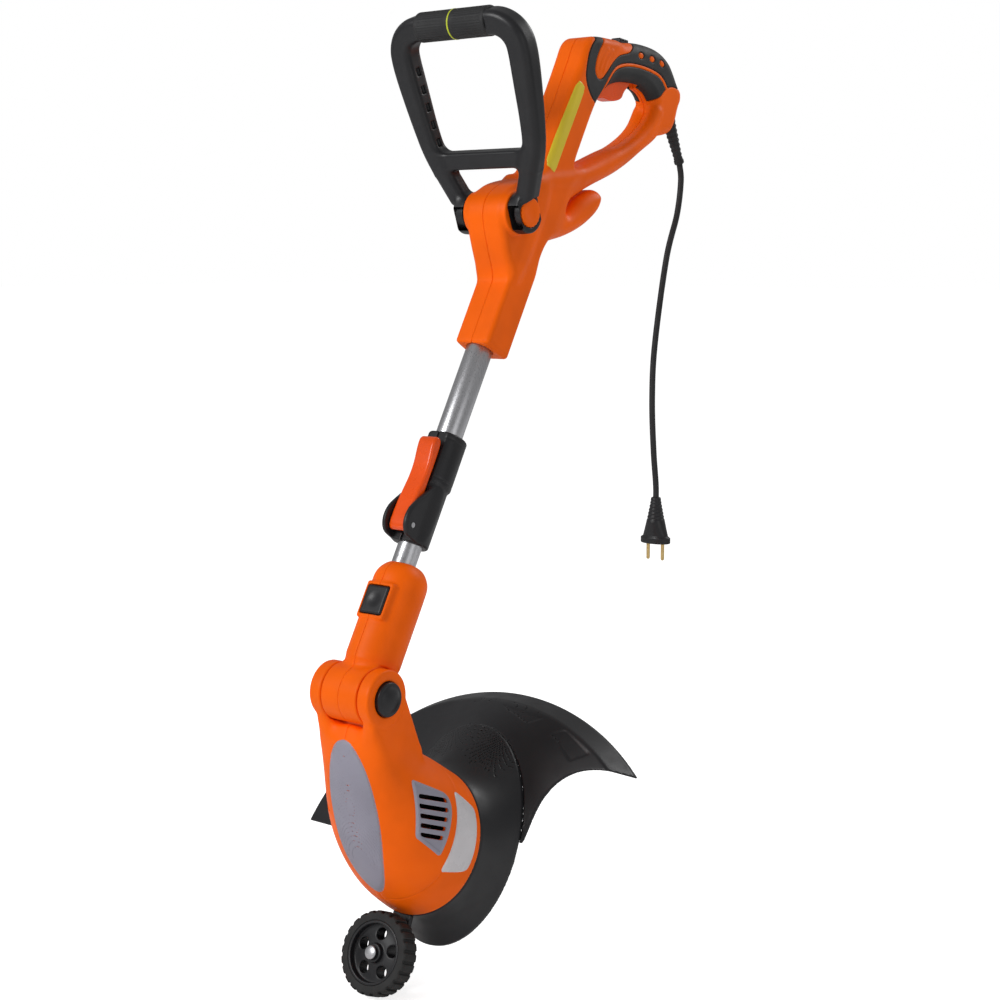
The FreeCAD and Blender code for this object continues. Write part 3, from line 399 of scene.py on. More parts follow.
class Recipe:
    """A material under construction: its node tree and its Principled shader."""

    def __init__(self, name):
        self.material = bpy.data.materials.new(name)
        self.material.use_nodes = True
        self.tree = self.material.node_tree
        self.shader = self.tree.nodes["Principled BSDF"]
        self.place = self.tree.nodes.new("ShaderNodeTexCoord").outputs["Object"]

    def add(self, kind, settings=None, **inputs):
        """A new node. Inputs are plain values or the sockets that feed them."""
        node = self.tree.nodes.new(kind)
        for key, value in (settings or {}).items():
            setattr(node, key, value)
        for key, value in inputs.items():
            self.feed(node.inputs[key.replace("_", " ")], value)
        return node

    def feed(self, socket, value):
        if isinstance(value, bpy.types.NodeSocket):
            self.tree.links.new(value, socket)
        else:
            socket.default_value = value

    def grain(self, size, detail=3.0, stretch=(1, 1, 1), lean=0.0):
        """Noise with features about size metres across, drawn out where stretch is small."""
        place = self.add("ShaderNodeMapping", Vector=self.place, Rotation=(lean, 0, 0), Scale=stretch)
        noise = self.add("ShaderNodeTexNoise", Vector=place.outputs[0], Scale=1 / size, Detail=detail)
        return noise.outputs[0]

    def spread(self, value, start, end, low, high):
        """value's span from start to end, stretched to low to high."""
        node = self.add("ShaderNodeMapRange", Value=value)
        for name, amount in (("From Min", start), ("From Max", end), ("To Min", low), ("To Max", high)):
            node.inputs[name].default_value = amount
        return node.outputs[0]

    def sum_of(self, a, b, operation="ADD"):
        node = self.add("ShaderNodeMath", {"operation": operation})
        self.feed(node.inputs[0], a)
        self.feed(node.inputs[1], b)
        return node.outputs[0]

    def mix(self, share, a, b):
        node = self.add("ShaderNodeMix", {"data_type": "RGBA"})
        for index, value in ((0, share), (6, a), (7, b)):
            self.feed(node.inputs[index], value)
        return node.outputs[2]

    def edges(self):
        """How far a point stands on a worn edge, and how far it lies in a hollow corner, where shade is painted.
        """
        bend = self.add("ShaderNodeNewGeometry").outputs["Pointiness"]
        return self.spread(bend, 0.53, 0.66, 0, 1), self.spread(bend, 0.47, 0.38, 0, 1)

    def bump(self, height, depth):
        node = self.add("ShaderNodeBump", Height=height, Distance=depth, Strength=1.0)
        self.feed(self.shader.inputs["Normal"], node.outputs[0])

    def set(self, **inputs):
        for key, value in inputs.items():
            self.feed(self.shader.inputs[key.replace("_", " ")], value)
        return self.material


def tinted(colour, share):
    return (*(channel * share for channel in colour), 1)


def moulded(name, colour, roughness, grain=0.0009, depth=0.00003, wear=0.35, coat=0.0,
            scuff=(0.6, 0.6, 0.6), shine=0.5):
    """Plastic or rubber: slight colour drift, fine moulded grain, scuffed edges and painted shade in corners."""
    recipe = Recipe(name)
    drift = recipe.spread(recipe.grain(0.05, 2), 0.35, 0.65, 0, 1)
    base = recipe.mix(drift, tinted(colour, 0.92), tinted(colour, 1.06))
    worn, corner_shade = recipe.edges()
    patches = recipe.spread(recipe.grain(0.012, 6), 0.42, 0.62, 0, wear)
    base = recipe.mix(recipe.sum_of(worn, patches, "MULTIPLY"), base, (*scuff, 1))
    # painted shade: hollow corners are darkened towards 0.35 of the base colour
    base = recipe.mix(recipe.sum_of(corner_shade, 0.45, "MULTIPLY"), base, tinted(colour, 0.35))
    smears = recipe.spread(recipe.grain(0.02, 5), 0.35, 0.7, roughness - 0.05, roughness + 0.1)
    texture = recipe.grain(grain, 2)
    recipe.bump(texture, depth)
    return recipe.set(Base_Color=base, Roughness=smears, Coat_Weight=coat, Coat_Roughness=0.12,
                      Specular_IOR_Level=shine)


def metal(name, colour, roughness, stretch=(1, 1, 1), lean=0.0, line=0.0006):
    """Metal whose fine lines run where stretch is small."""
    recipe = Recipe(name)
    lines = recipe.grain(line, 2, stretch, lean)
    cloud = recipe.grain(0.03, 3)
    base = recipe.mix(recipe.spread(lines, 0.3, 0.7, 0, 1), tinted(colour, 0.86), tinted(colour, 1.05))
    base = recipe.mix(recipe.spread(cloud, 0.45, 0.7, 0, 0.25), base, tinted(colour, 0.7))
    recipe.bump(lines, 0.00002)
    polish = recipe.spread(lines, 0.3, 0.7, roughness, roughness + 0.14)
    return recipe.set(Base_Color=base, Metallic=1.0, Roughness=polish)


ORANGE = (1.0, 0.138, 0.0)
LEAN = math.atan2(JOINTS["neck_swivel"]["axis"][1], JOINTS["neck_swivel"]["axis"][2])
FINISH = {
    name: make(name, *values, **more)
    for name, make, values, more in (
        ("orange_plastic", moulded, (ORANGE, 0.45), dict(wear=0.12, scuff=(1.0, 0.22, 0.03), shine=0.14)),
        ("orange_gloss", moulded, ((0.9, 0.085, 0.0), 0.28),
         dict(depth=0.000008, wear=0.1, coat=0.25, scuff=(0.95, 0.25, 0.06), shine=0.3)),
        ("black_plastic", moulded, ((0.011, 0.011, 0.013), 0.4),
         dict(wear=0.1, scuff=(0.09, 0.09, 0.1), shine=0.42)),
        ("grey_plastic", moulded, ((0.29, 0.28, 0.345), 0.45), dict(wear=0.12, scuff=(0.5, 0.5, 0.53))),
        ("plain_plate", moulded, ((0.66, 0.64, 0.66), 0.28), dict(depth=0.000005, wear=0.08, coat=0.3)),
        ("black_rubber", moulded, ((0.012, 0.012, 0.013), 0.62),
         dict(grain=0.0006, depth=0.00006, wear=0.12, scuff=(0.07, 0.07, 0.07))),
        ("tyre_rubber", moulded, ((0.014, 0.014, 0.014), 0.72),
         dict(grain=0.0014, depth=0.00012, wear=0.3, scuff=(0.09, 0.085, 0.075))),
        ("tube_aluminium", metal, ((0.52, 0.52, 0.54), 0.26, (1, 1, 0.01), LEAN), {}),
        ("steel", metal, ((0.56, 0.56, 0.58), 0.3), {}),
        ("brass", metal, ((0.78, 0.57, 0.25), 0.28), {}),
        ("carbon", moulded, ((0.03, 0.03, 0.032), 0.5), {}),
        ("nylon_line", moulded, ((0.75, 0.2, 0.02), 0.3), dict(grain=0.002, depth=0.00002)),
    )
}
LIME = moulded("lime_stripe", (0.55, 0.62, 0.02), 0.4, wear=0.1)
YELLOW = moulded("yellow_strip", (0.78, 0.6, 0.02), 0.35, depth=0.000006, wear=0.1, coat=0.2)

for node, obj in NODES.items():
    obj.data.materials.clear()
    obj.data.materials.append(FINISH[SLOT_OF[node]])


# Rear housing with its closed hand grip, in the pole frame

SEAM = 0.06  # half the gap between two shells
SCREW_HOLE = 3.8
COLUMN_HALF = 20.0
GRIP_HALF = 15.5
HOUSING_OUTLINE = Outline((
    (-16, 360), (-16, 353), (-11, 352), (16, 352), (21, 353), (21, 360), (21, 440), (21, 486), (35, 494),
    (52, 508), (68, 525), (80, 541), (91, 562), (90, 578), (79, 581), (68, 574), (56, 558), (49, 541),
    (43, 531), (38, 531), (39, 540), (52, 558), (66, 576), (82, 594), (96, 610), (112, 632), (127, 657),
    (141, 678), (146, 690), (158, 699), (164, 706), (165, 720), (162, 734), (163, 744), (157, 754),
    (147, 756), (133, 763), (118, 768), (97, 766), (72, 755), (52, 743), (34, 730), (14, 719), (-6, 708),
    (-22, 696), (-20, 668), (-20, 600), (-20, 533), (-20, 440), (-16, 425), (-16, 400),
), rounds=4)
HAND_OPENING = Outline((
    (22, 575), (22, 600), (22, 636), (24, 655), (34, 672), (50, 690), (68, 702), (88, 712), (106, 715),
    (121, 708), (121, 692), (112, 672), (104, 658), (92, 642), (76, 628), (54, 603), (38, 584), (26, 572),
))
FAIRING = Outline((
    (0, 424), (-16, 424), (-30, 435), (-48, 451), (-62, 466), (-65, 482), (-57, 500), (-44, 514), (-21, 532),
    (0, 534),
))
GRIP_BAND = Outline((
    (-12, 790), (-9, 705), (-16, 690), (-14, 672), (-8, 655), (10, 645), (24, 645), (60, 640), (100, 690),
    (109, 707), (121, 722), (124, 734), (134, 745), (151, 750), (160, 780),
), rounds=3)
STRIPE = Outline((
    (24, 648), (25, 662), (27, 677), (33, 696), (48, 712), (67, 724), (91, 735), (112, 741), (130, 735),
), closed=False)
THUMB_WINDOW = Outline((
    (3, 745), (0, 708), (-3, 690), (0, 673), (8, 667), (16, 670), (20, 682), (24, 697), (31, 710), (43, 721),
    (51, 728), (56, 748),
), rounds=3)
TRIGGER_ROOM = Outline((
    (20, 652), (40, 652), (62, 668), (90, 690), (92, 712), (76, 728), (50, 716), (24, 692),
))
LOCK_SPOT = (46, 738)
LOCK_SLOPE = 25
RIDGE = Outline((
    (-24, 527), (14, 551), (43, 574), (71, 603), (106, 648), (124, 680), (126, 706),
), closed=False)
THUMB_RIBS = [
    Outline(points, closed=False, rounds=3)
    for points in (((10, 703), (7, 690), (8, 678)), ((17, 706), (13, 692), (14, 680)))
]
OVALS = ((68, 737, 27), (87, 746, 22), (105, 753, 8))
SCREWS = ((0, 560), (0, 640), (75, 607), (146, 722), (30, 505))


def housing_body(x, y, z):
    """The rear housing's outer form, before colours and openings."""
    side = np.abs(x)
    flat = np.maximum(HOUSING_OUTLINE(y, z), -HAND_OPENING(y, z))
    narrow = ramp(y, 20, 44)
    low = 1 - ramp(z, 440, 468)
    half = COLUMN_HALF - (COLUMN_HALF - GRIP_HALF) * narrow + low
    rounding = 8 + 5 * narrow - 3 * low
    body = slab(flat, side - half, rounding)
    fairing = slab(FAIRING(y, z), side - 23, 7)
    boss = disc(y - BOSS_Y, z - BOSS_Z, 21, x, 26, 1.5)
    body = soft_min(body, soft_min(fairing, boss, 3), 9)
    ridge = np.hypot(RIDGE(y, z), side - (half - 5)) - 6.5
    body = soft_min(body, ridge, 6)
    for rib in THUMB_RIBS:
        body = soft_min(body, np.hypot(rib(y, z), side - half + 1.2) - 1.9, 1.5)
    return body


def skin_region(x, y, z):
    """Where the soft overmould lies, seen from the side."""
    side = np.abs(x)
    region = np.maximum(GRIP_BAND(y, z), 1.9 - STRIPE(y, z))
    region = np.maximum(region, -THUMB_WINDOW(y, z))
    for at_y, at_z, slope_up in OVALS:
        across, up = turned(y, z, slope_up, (at_y, at_z))
        oval = np.maximum(3.4 - np.hypot(across * 0.7, up), 4.5 - side)
        region = np.maximum(region, oval)
    return region


def housing_openings(x, y, z):
    """The trigger's room, the lock-off's slot and the tube's socket."""
    trigger = slab(TRIGGER_ROOM(y, z), np.abs(x) - 8.7, 1)
    across, up = turned(y, z, LOCK_SLOPE, LOCK_SPOT)
    lock = block(x, across, up, (6.4, 8.4, 10.8), 1.5)
    socket = np.maximum(np.hypot(x, y) - 13.05, z - 445)
    return union(trigger, lock, socket)


def half_shell(body, sign, x, a, b, screws, seat):
    """One side of a body, cut at the seam. The right one has a hole for each screw, in to the seat."""
    if sign < 0:
        for at_a, at_b in screws:
            recess = np.maximum(np.hypot(a - at_a, b - at_b) - SCREW_HOLE, x + seat)
            body = soft_max(body, -recess, 0.8)
    return soft_max(body, SEAM - sign * x, 0.35)


def housing_shell(sign):
    """One orange half of the rear housing."""
    def field(x, y, z):
        body = housing_body(x, y, z)
        skin = soft_max(skin_region(x, y, z) - 0.35, -(body + 2.6), 0.8)
        shell = soft_max(body, -skin, 1.2)
        shell = soft_max(shell, -housing_openings(x, y, z), 0.8)
        return half_shell(shell, sign, x, y, z, SCREWS, 11)
    return field


def overmould(x, y, z):
    """The black soft skin about the hand grip."""
    body = housing_body(x, y, z)
    skin = soft_max(soft_max(body, -(body + 2.3), 0.4), skin_region(x, y, z), 1.2)
    return soft_max(skin, -housing_openings(x, y, z), 0.8)


def rear_housing():
    low = (-1, -68, 346)
    high = (30, 172, 776)
    both_sides("rear_housing_shell_", housing_shell, low, high, 1.0, POLE, "rear_housing_")
    add_field("grip_skin", overmould, (-24, -24, 636), (24, 166, 776), 0.9, POLE, "grip_overmould")


rear_housing()


# Yellow strip, trigger and lock-off button, in the pole frame

STRIP = Outline((
    (-17, 648), (-10, 648), (-4, 647), (-4, 620), (-5, 570), (-5, 546), (-12, 547), (-19, 548), (-19, 575),
    (-18, 620),
), rounds=1)
TRIGGER = Outline((
    (31, 659), (45, 669.5), (57, 673), (71, 685), (70, 693), (76, 707), (72, 714), (60, 706), (37, 688),
    (28, 680), (27, 672),
), rounds=3)


def yellow_strip(x, y, z):
    """A plain coloured inlay that follows the housing's left side."""
    body = housing_body(x, y, z)
    return soft_max(soft_max(body - 0.35, -(body + 0.8), 0.3), STRIP(y, z), 0.4)


def trigger_blade(x, y, z):
    blade = slab(TRIGGER(y, z), np.abs(x) - 8, 2.5)
    return soft_max(blade, 2.05 - np.hypot(y - 32, z - 678), 0.3)


def lock_button(x, y, z):
    """The lock-off button, nearly flush with the grip, ribbed across for the thumb."""
    across, up = turned(y, z, LOCK_SLOPE, LOCK_SPOT)
    ribs = 0.4 * np.cos(across * 2 * math.pi / 3.2) * ramp(up, 0, 2)
    return block(x, across, up + 1.6, (6, 8, 5.4), 1.6) - ribs


def grip_controls():
    strip = mesh_field(yellow_strip, (15, -24, 540), (24, 2, 654), 0.8)
    add_inlay("yellow_strip", *strip, POLE, "plain_plate", "handle", YELLOW)
    add_field("trigger_blade", trigger_blade, (-10, 22, 652), (10, 82, 720), 0.7, POLE, "trigger")
    add_field("lock_off_slider", lock_button, (-9, 32, 724), (9, 60, 752), 0.5, POLE, "lock_off_button")


# Clamp collar, its cam lever and the tubes, in the pole frame

COLLAR_EARS = Outline((
    (4, 206), (-10, 206), (-17, 196), (-27, 182), (-33, 172), (-34, 160), (-29, 150), (-20, 147), (4, 147),
), rounds=3)
LEVER = Outline((
    (-16.2, 202), (-16.2, 240), (-19, 248), (-26, 248), (-28.4, 241), (-23, 215), (-27, 186), (-28.5, 164),
    (-27, 154), (-21, 152), (-16.8, 158), (-16.4, 188),
), rounds=3)


def clamp_collar(x, y, z):
    radius = np.hypot(x, y)
    slim = slab(radius - 17, np.abs(z - 190) - 43, 2)
    wide = slab(radius - 19, np.abs(z - 232) - 26, 2.5)
    ears = slab(COLLAR_EARS(y, z), np.abs(x) - 15.5, 2.5)
    body = soft_min(soft_min(slim, wide, 3), ears, 4)
    for level in (212, 252):
        body = soft_max(body, 0.7 - np.hypot(radius - 19.3, z - level), 0.4)
    slot = np.maximum(np.abs(x) - 10.9, y + 15.4)
    split = np.maximum(np.abs(x) - 0.8, y)
    bore = np.minimum(np.maximum(radius - 13.05, 166 - z), radius - 11.55)
    pin = np.hypot(y - LEVER_Y, z - LEVER_Z) - 2.5
    body = soft_max(body, -slot, 0.8)
    return soft_max(body, -union(split, bore, pin), 0.4)


def cam_lever(x, y, z):
    blade = slab(LEVER(y, z), np.abs(x) - 10.5, 3)
    return soft_max(blade, 2.55 - np.hypot(y - LEVER_Y, z - LEVER_Z), 0.3)


def clamp():
    add_field("collar", clamp_collar, (-22, -38, 143), (22, 22, 262), 0.8, POLE, "clamp_collar")
    add_field("lever", cam_lever, (-13, -32, 148), (13, -13, 252), 0.7, POLE, "clamp_lever")


def tubes():
    """The inner tube is drawn with fine lengthwise grooves on one side; the outer tube is plain."""
    def grooved(radius, angle):
        on_side = ramp(np.cos(angle - math.radians(35)), 0.6, 0.75)
        return radius - np.where(radius > 11, 0.22 * on_side * (0.5 + 0.5 * np.cos(angle * 60)), 0)

    def rim(radius, bottom, top):
        return ((radius - 0.3, bottom), (radius, bottom + 0.3), (radius, top - 0.3), (radius - 0.3, top),
                (radius - 1.4, top), (radius - 1.4, bottom))

    points, quads = lathe(rim(11.5, 50, 400), 720, grooved)
    add_piece("lower_tube_grooved", points, quads, POLE, "lower_tube", crease=50)
    points, quads = lathe(rim(13, 166, 445), 96)
    add_piece("upper_tube_drawn", points, quads, POLE, "upper_tube", crease=50)


# Neck, in the pole frame

NECK_PROFILE = Outline((
    (-26, 14), (26, 14), (26, 60), (26, 106), (25.5, 114), (22, 121), (16, 127), (8, 128), (-8, 128),
    (-16, 127), (-22, 121), (-25.5, 114), (-26, 106), (-26, 60),
), rounds=3)
NECK_SCREWS = ((18.5, 50), (18.5, 108))
BUTTON_LEVEL = 84


def neck_half(sign):
    def field(x, y, z):
        side = np.abs(x)
        from_tube = np.hypot(x, y)
        from_pivot = np.hypot(y, z)
        body = soft_min(NECK_PROFILE(np.hypot(x, y - 5), z), disc(y, z, 26.5, x, 21.5, 1.5), 6)
        body = soft_max(body, -np.maximum(from_pivot - 28, 21.7 - side), 1.5)
        body = soft_min(body, block(x, y + 8, z - BUTTON_LEVEL, (16, 13.5, 18), 2.5), 2.5)
        pocket = block(x, y + 28.2, z - BUTTON_LEVEL, (13.5, 15.7, 14.5), 2.5)
        bore = np.maximum(from_tube - 11.56, 46 - z)
        ring_room = np.maximum(from_tube - 16.2, np.abs(z - 65) - 5.3)
        stem_bore = from_pivot - 8.1
        body = soft_max(body, -union(pocket, bore, ring_room, stem_bore), 0.8)
        return half_shell(body, sign, x, y, z, NECK_SCREWS, 11)
    return field


def square_button(x, y, z):
    """The black button that frees the neck's swivel, slightly hollowed for the thumb."""
    dish = 0.9 * ramp(9 - np.hypot(x, z - BUTTON_LEVEL), 0, 8)
    return block(x, y + 19 - dish, z - BUTTON_LEVEL, (12.8, 3.4, 13.8), 2.4)


def tilt_button(sign):
    def field(x, y, z):
        out = sign * x
        radius = np.hypot(y, z)
        cap = slab(radius - 15.8, np.abs(out - 36.1) - 3.7, 1.6)
        dome = soft_max(np.hypot(radius, out - 20.5) - 23, 35 - out, 0.5)
        cap = soft_min(cap, soft_max(dome, radius - 13, 1.2), 0.7)
        return soft_min(cap, slab(radius - 8, np.abs(out - 22) - 12, 0.6), 1)
    return field


def neck():
    both_sides("neck_shell_", neck_half, (-1, -32, -30), (30, 36, 132), 0.8, POLE, "neck_")
    both_sides("tilt_cap_", tilt_button, (8, -18, -18), (47, 18, 18), 0.7, POLE, "tilt_button_")
    add_field("swivel_square", square_button, (-15, -25, 67), (15, -13, 101), 0.6, POLE, "swivel_button")


# Front handle, in its own frame

HANDLE_LINE = Outline((
    (30, -8), (33, 0), (48, 33), (61, 62), (65, 90), (67, 111), (69, 135), (70, 152), (69, 164), (62, 175),
    (50, 181.5), (38, 182), (20, 182), (0, 182), (-14, 182),
), closed=False, rounds=3)
SLEEVE_LEVEL = 182.0


def handle_loop(x, y, z):
    side = np.abs(x)
    from_axle = np.hypot(y, z)
    half = 9.8 + 1.9 * ramp(z, 55, 150)
    rail = slab(HANDLE_LINE(side, z) - half, np.abs(y) - half - 0.2, 7)
    foot = disc(y, z, 20, side - 33.15, 6.85, 2)
    body = soft_min(rail, foot, 5)
    crossbar = slab(np.maximum(side - 56, np.abs(z - 53.5) - 8.5), np.abs(y) - 7, 3)
    body = soft_min(body, crossbar, 9)
    for index in range(5):
        slot = block(HANDLE_LINE(side, z) - half + 0.4, y, z - 72 - 17.3 * index, (2.2, 3, 3.8), 1)
        slot = np.maximum(slot, side - 66)
        body = soft_max(body, -slot, 0.6)
    middle = np.maximum(side - 26.3, from_axle - 27)
    room = np.maximum(31.5 - side, from_axle - 14.7)
    return soft_max(body, -union(middle, room, from_axle - 4.05), 1)


def handle_sleeve(x, y, z):
    """The soft sleeve, with fine lengthwise ribs between plain ends."""
    angle = np.arctan2(z - SLEEVE_LEVEL, y)
    side = np.abs(x)
    ribbed = ramp(side, 4.5, 6) * (1 - ramp(side, 37, 38.5))
    depth = 0.4 * ribbed * wave(angle * 36)
    return slab(np.hypot(y, z - SLEEVE_LEVEL) - 14 + depth, side - 42, 1.6)


def lime_ring(x, y, z):
    radius = np.hypot(y, z - SLEEVE_LEVEL)
    return soft_max(slab(radius - 14.25, np.abs(x) - 0.9, 0.4), 12.5 - radius, 0.3)


def round_button(sign):
    def field(x, y, z):
        radius = np.hypot(y, z)
        scallops = 0.35 * wave(np.arctan2(z, y) * 20)
        cap = slab(radius - 14.4 + scallops, np.abs(sign * x - 38.2) - 3.2, 1.4)
        dish = np.hypot(radius, sign * x - 41.4 - 38) - 38.9
        return soft_max(cap, -dish, 0.6)
    return field


def front_handle():
    add_field("handle_loop", handle_loop, (-84, -16, -24), (84, 16, 197), 1.0, HANDLE, "front_handle_frame")
    grip = "front_handle_grip"
    add_field("handle_sleeve", handle_sleeve, (-44, -17, 165), (44, 17, 199), 0.7, HANDLE, grip)
    ring = mesh_field(lime_ring, (-3, -17, 165), (3, 17, 199), 0.5)
    add_inlay("handle_sleeve_ring", *ring, HANDLE, SLOT_OF[grip], BODY_OF[grip], LIME)
    buttons = "front_handle_button_"
    both_sides("handle_button_cap_", round_button, (33, -17, -17), (44, 17, 17), 0.6, HANDLE, buttons)


grip_controls()
clamp()
tubes()
neck()
front_handle()


# Motor housing, in the head frame: across, towards the tail and along the motor's axis

# Level, half width, half length and centre of the bell's ellipse, rim first
BELL = smooth_path((
    (-146, 71, 71, -113.5), (-141, 71, 71, -113.5), (-105, 68, 68, -104), (-67, 58.5, 57.5, -88.5),
    (-35, 46, 40, -67), (-10, 34, 20, -47), (0, 23, 10, -39.5), (4, 15, 5, -36),
), 160)
COVER_CENTRE = -106.0
GRILLE = Outline((
    (-62, -44), (-63, -54), (-65, -78), (-66, -88), (-70, -93), (-78, -96), (-95, -96), (-116, -96),
    (-124, -96), (-121, -89), (-114, -71), (-112, -66), (-104, -62), (-74, -49),
), rounds=2)
NAME_PLATE = Outline((
    (-62, -103), (-64, -112), (-70, -128), (-73, -134), (-82, -135), (-122, -135), (-130, -134), (-133, -128),
    (-136, -112), (-137, -105), (-126, -104), (-72, -103),
), rounds=2)
HEAD_SCREWS = ((-60, -24), (-104, -50), (-165, -130))


def bell(x, v, w, proud=0.0):
    """About the distance to the bell, its ellipses drawn out by proud."""
    level = np.clip(w, BELL[0, 0], BELL[-1, 0] + proud)
    half_x, half_v, centre = (np.interp(level - proud, BELL[:, 0], BELL[:, n]) for n in (1, 2, 3))
    half_x = half_x + proud
    half_v = half_v + proud
    out = np.hypot(x / half_x, (v - centre) / half_v)
    wall = (out - 1) * np.minimum(half_x, half_v) * (0.75 + 0.25 * ramp(half_v, 15, 60))
    return soft_max(wall, w - 1.5 - proud, 3)


def head_body(x, v, w):
    """The bell with its two ears, before openings."""
    side = np.abs(x) - 29
    ear = disc(v, w, 26.5, side, 7, 2.5)
    along, across = turned(v, w, 225, (0, 0))
    outline = slab(np.abs(across) - 25.5, np.abs(along - 38) - 38, 8)
    arm = slab(outline, np.abs(side + 0.5) - 6.5, 5)
    body = soft_min(bell(x, v, w), arm, 13)
    return soft_min(body, ear, 1.5)


def grille_slots(x, v, w):
    """Five slanting slots with round ends, within the grille's frame."""
    nearest = np.full(np.shape(x), 50.0)
    for index in range(5):
        across, along = turned(v, w, 4, (-74 - 8.5 * index, -73))
        slot = slab(np.abs(across) - 2, np.abs(along) - 18.5, 1.9)
        nearest = np.minimum(nearest, slot)
    nearest = soft_max(nearest, GRILLE(v, w) + 4, 1.5)
    return np.maximum(nearest, 40 - np.abs(x))


def head_rooms(x, v, w):
    """The neck's barrel, the tilt buttons, the hollow inside and everything below the rim."""
    side = np.abs(x)
    from_pivot = np.hypot(v, w)
    barrel = np.maximum(from_pivot - 27.3, side - 22)
    tilt = np.maximum(from_pivot - 16.4, 27.4 - side)
    stem = from_pivot - 8.06
    return union(barrel, tilt, stem, bell(x, v, w, -3), w + 141, grille_slots(x, v, w))


def head_half(sign):
    def field(x, v, w):
        outer = head_body(x, v, w)
        body = soft_max(outer, -head_rooms(x, v, w), 1)
        for at_v, at_w in HEAD_SCREWS:
            post = np.hypot(v - at_v, w - at_w) - 5.2
            body = np.minimum(body, np.maximum(post, outer + 0.2))
        line = np.abs(w + 108) - 0.5
        groove = np.maximum(line, np.maximum(-bell(x, v, w) - 0.6, v + 30))
        body = soft_max(body, -groove, 0.5)
        return half_shell(body, sign, x, v, w, HEAD_SCREWS, 28)
    return field


def skin(outline_field, proud, soft):
    """A thin raised skin on the bell, as wide as the outline's field says."""
    def field(x, v, w):
        region = outline_field(x, v, w)
        rise = proud * ramp(-region, 0, 2.2)
        body = soft_max(bell(x, v, w) - rise, region, soft)
        return soft_max(body, -(bell(x, v, w) + 1.0), 0.3)
    return field


def cover_region(x, v, w):
    out = np.hypot(x / 29, (v - COVER_CENTRE) / 63.5)
    return (out - 1) * 29


def plate_region(x, v, w):
    return np.maximum(NAME_PLATE(v, w), 30 - np.abs(x))


def vent_grille(x, v, w):
    """A framed grille: a bevelled rim, a sunk panel and the slots."""
    region = np.maximum(GRILLE(v, w), 30 - np.abs(x))
    rise = 1.7 * ramp(-region, 0, 1.6) - 0.8 * ramp(-region, 2.4, 3.6)
    body = soft_max(bell(x, v, w) - rise, region, 0.6)
    body = soft_max(body, -(bell(x, v, w) + 1.4), 0.3)
    return soft_max(body, -grille_slots(x, v, w), 0.7)


def motor_head():
    both_sides("head_shell_", head_half, (-1, -190, -144), (76, 32, 32), 1.1, HEAD, "motor_housing_")
    grilles = "vent_grille_"
    both_sides("grille_", lambda _: vent_grille, (30, -130, -100), (76, -56, -38), 0.7, HEAD, grilles)
    cover = skin(cover_region, 0.8, 0.5)
    add_field("cover_oval", cover, (-34, -180, -146), (34, -36, 8), 0.9, HEAD, "front_cover")
    plates = skin(plate_region, 0.6, 0.4)
    add_field("plain_plates", plates, (-76, -142, -140), (76, -56, -98), 0.8, HEAD, "name_plates")


# Guard, in the head frame

DOME_TOP = -141.2
DOME_EDGE = -195.0
GUARD_SKIN = 2.6
WING_CENTRE = -183.0
WING_RADIUS = 234.0
FOLD_RADIUS = 223.0
WING_NOTCH = Outline((
    (78, -96), (80, -82), (82, -65), (86, -45), (95, -27), (110, -14), (131, -8), (154, -8), (200, -8),
    (244, -8), (244, -80), (244, -160), (100, -160), (0, -160), (0, -120), (0, -93), (40, -93), (66, -93),
), rounds=2)
RECESSES = [
    Outline(points, rounds=2)
    for points in (
        ((67, 16), (70, 18), (79, 23), (84, 21), (106, 9), (114, 5), (112, 2), (101, -5), (98, -8), (93, -4),
         (74, 11)),
        ((-3, 36), (5, 35), (44, 31), (53, 30), (51, 28), (43, 22), (40, 20), (34, 22), (18, 28), (12, 29)),
    )
]


def dome_form(x, v, w, inset=0.0):
    """The dome's bell-shaped wall, drawn in by inset; its lowest band stands straight."""
    down = np.clip((DOME_TOP - w) / (DOME_TOP - DOME_EDGE - 4), 0, 1)
    flare = down**1.5
    half_x = 71 + 5 * flare - inset
    half_v = 71 + 38 * flare - inset
    out = np.hypot(x / half_x, (v + 113.5 - 13.5 * flare) / half_v)
    return (out - 1) * np.minimum(half_x, half_v) * 0.85


def guard_dome(x, v, w):
    wall = soft_max(dome_form(x, v, w), w - DOME_TOP, 3)
    wall = np.maximum(wall, DOME_EDGE - w)
    inside = soft_max(dome_form(x, v, w, GUARD_SKIN), w - DOME_TOP + GUARD_SKIN, 3)
    shell = soft_max(wall, -inside, 0.6)
    from_shaft = np.hypot(x, v - MOTOR_V)
    seat = slab(from_shaft - 15, np.abs(w + 147.3) - 6, 0.8)
    shell = soft_min(shell, seat, 1.5)
    bore = np.minimum(from_shaft - 6, np.maximum(from_shaft - 11.02, w + 143.4))
    return soft_max(shell, -bore, 0.6)


def beyond_crease(x, v):
    """How far out of the dome's lower edge, as a share of its width."""
    return np.hypot(x / 76, (v + 100) / 109) - 1


def wing_level(x, v):
    """How high the wing's upper face lies, before the fold and beyond it."""
    radius = np.hypot(x, v - WING_CENTRE)
    from_crease = np.maximum(beyond_crease(x, v) * 76, 0)
    from_fold = np.maximum(FOLD_RADIUS - radius, 0)
    share = from_crease / (from_crease + from_fold + 1e-6)
    plate = -194.5 - 27.5 * share**0.9
    skirt = -222 - (radius - FOLD_RADIUS) * 2.0
    level = soft_min(plate, skirt, 2.5)
    for recess in RECESSES:
        level = level - 0.9 * ramp(-recess(x, v), 0, 1.4)
    return level


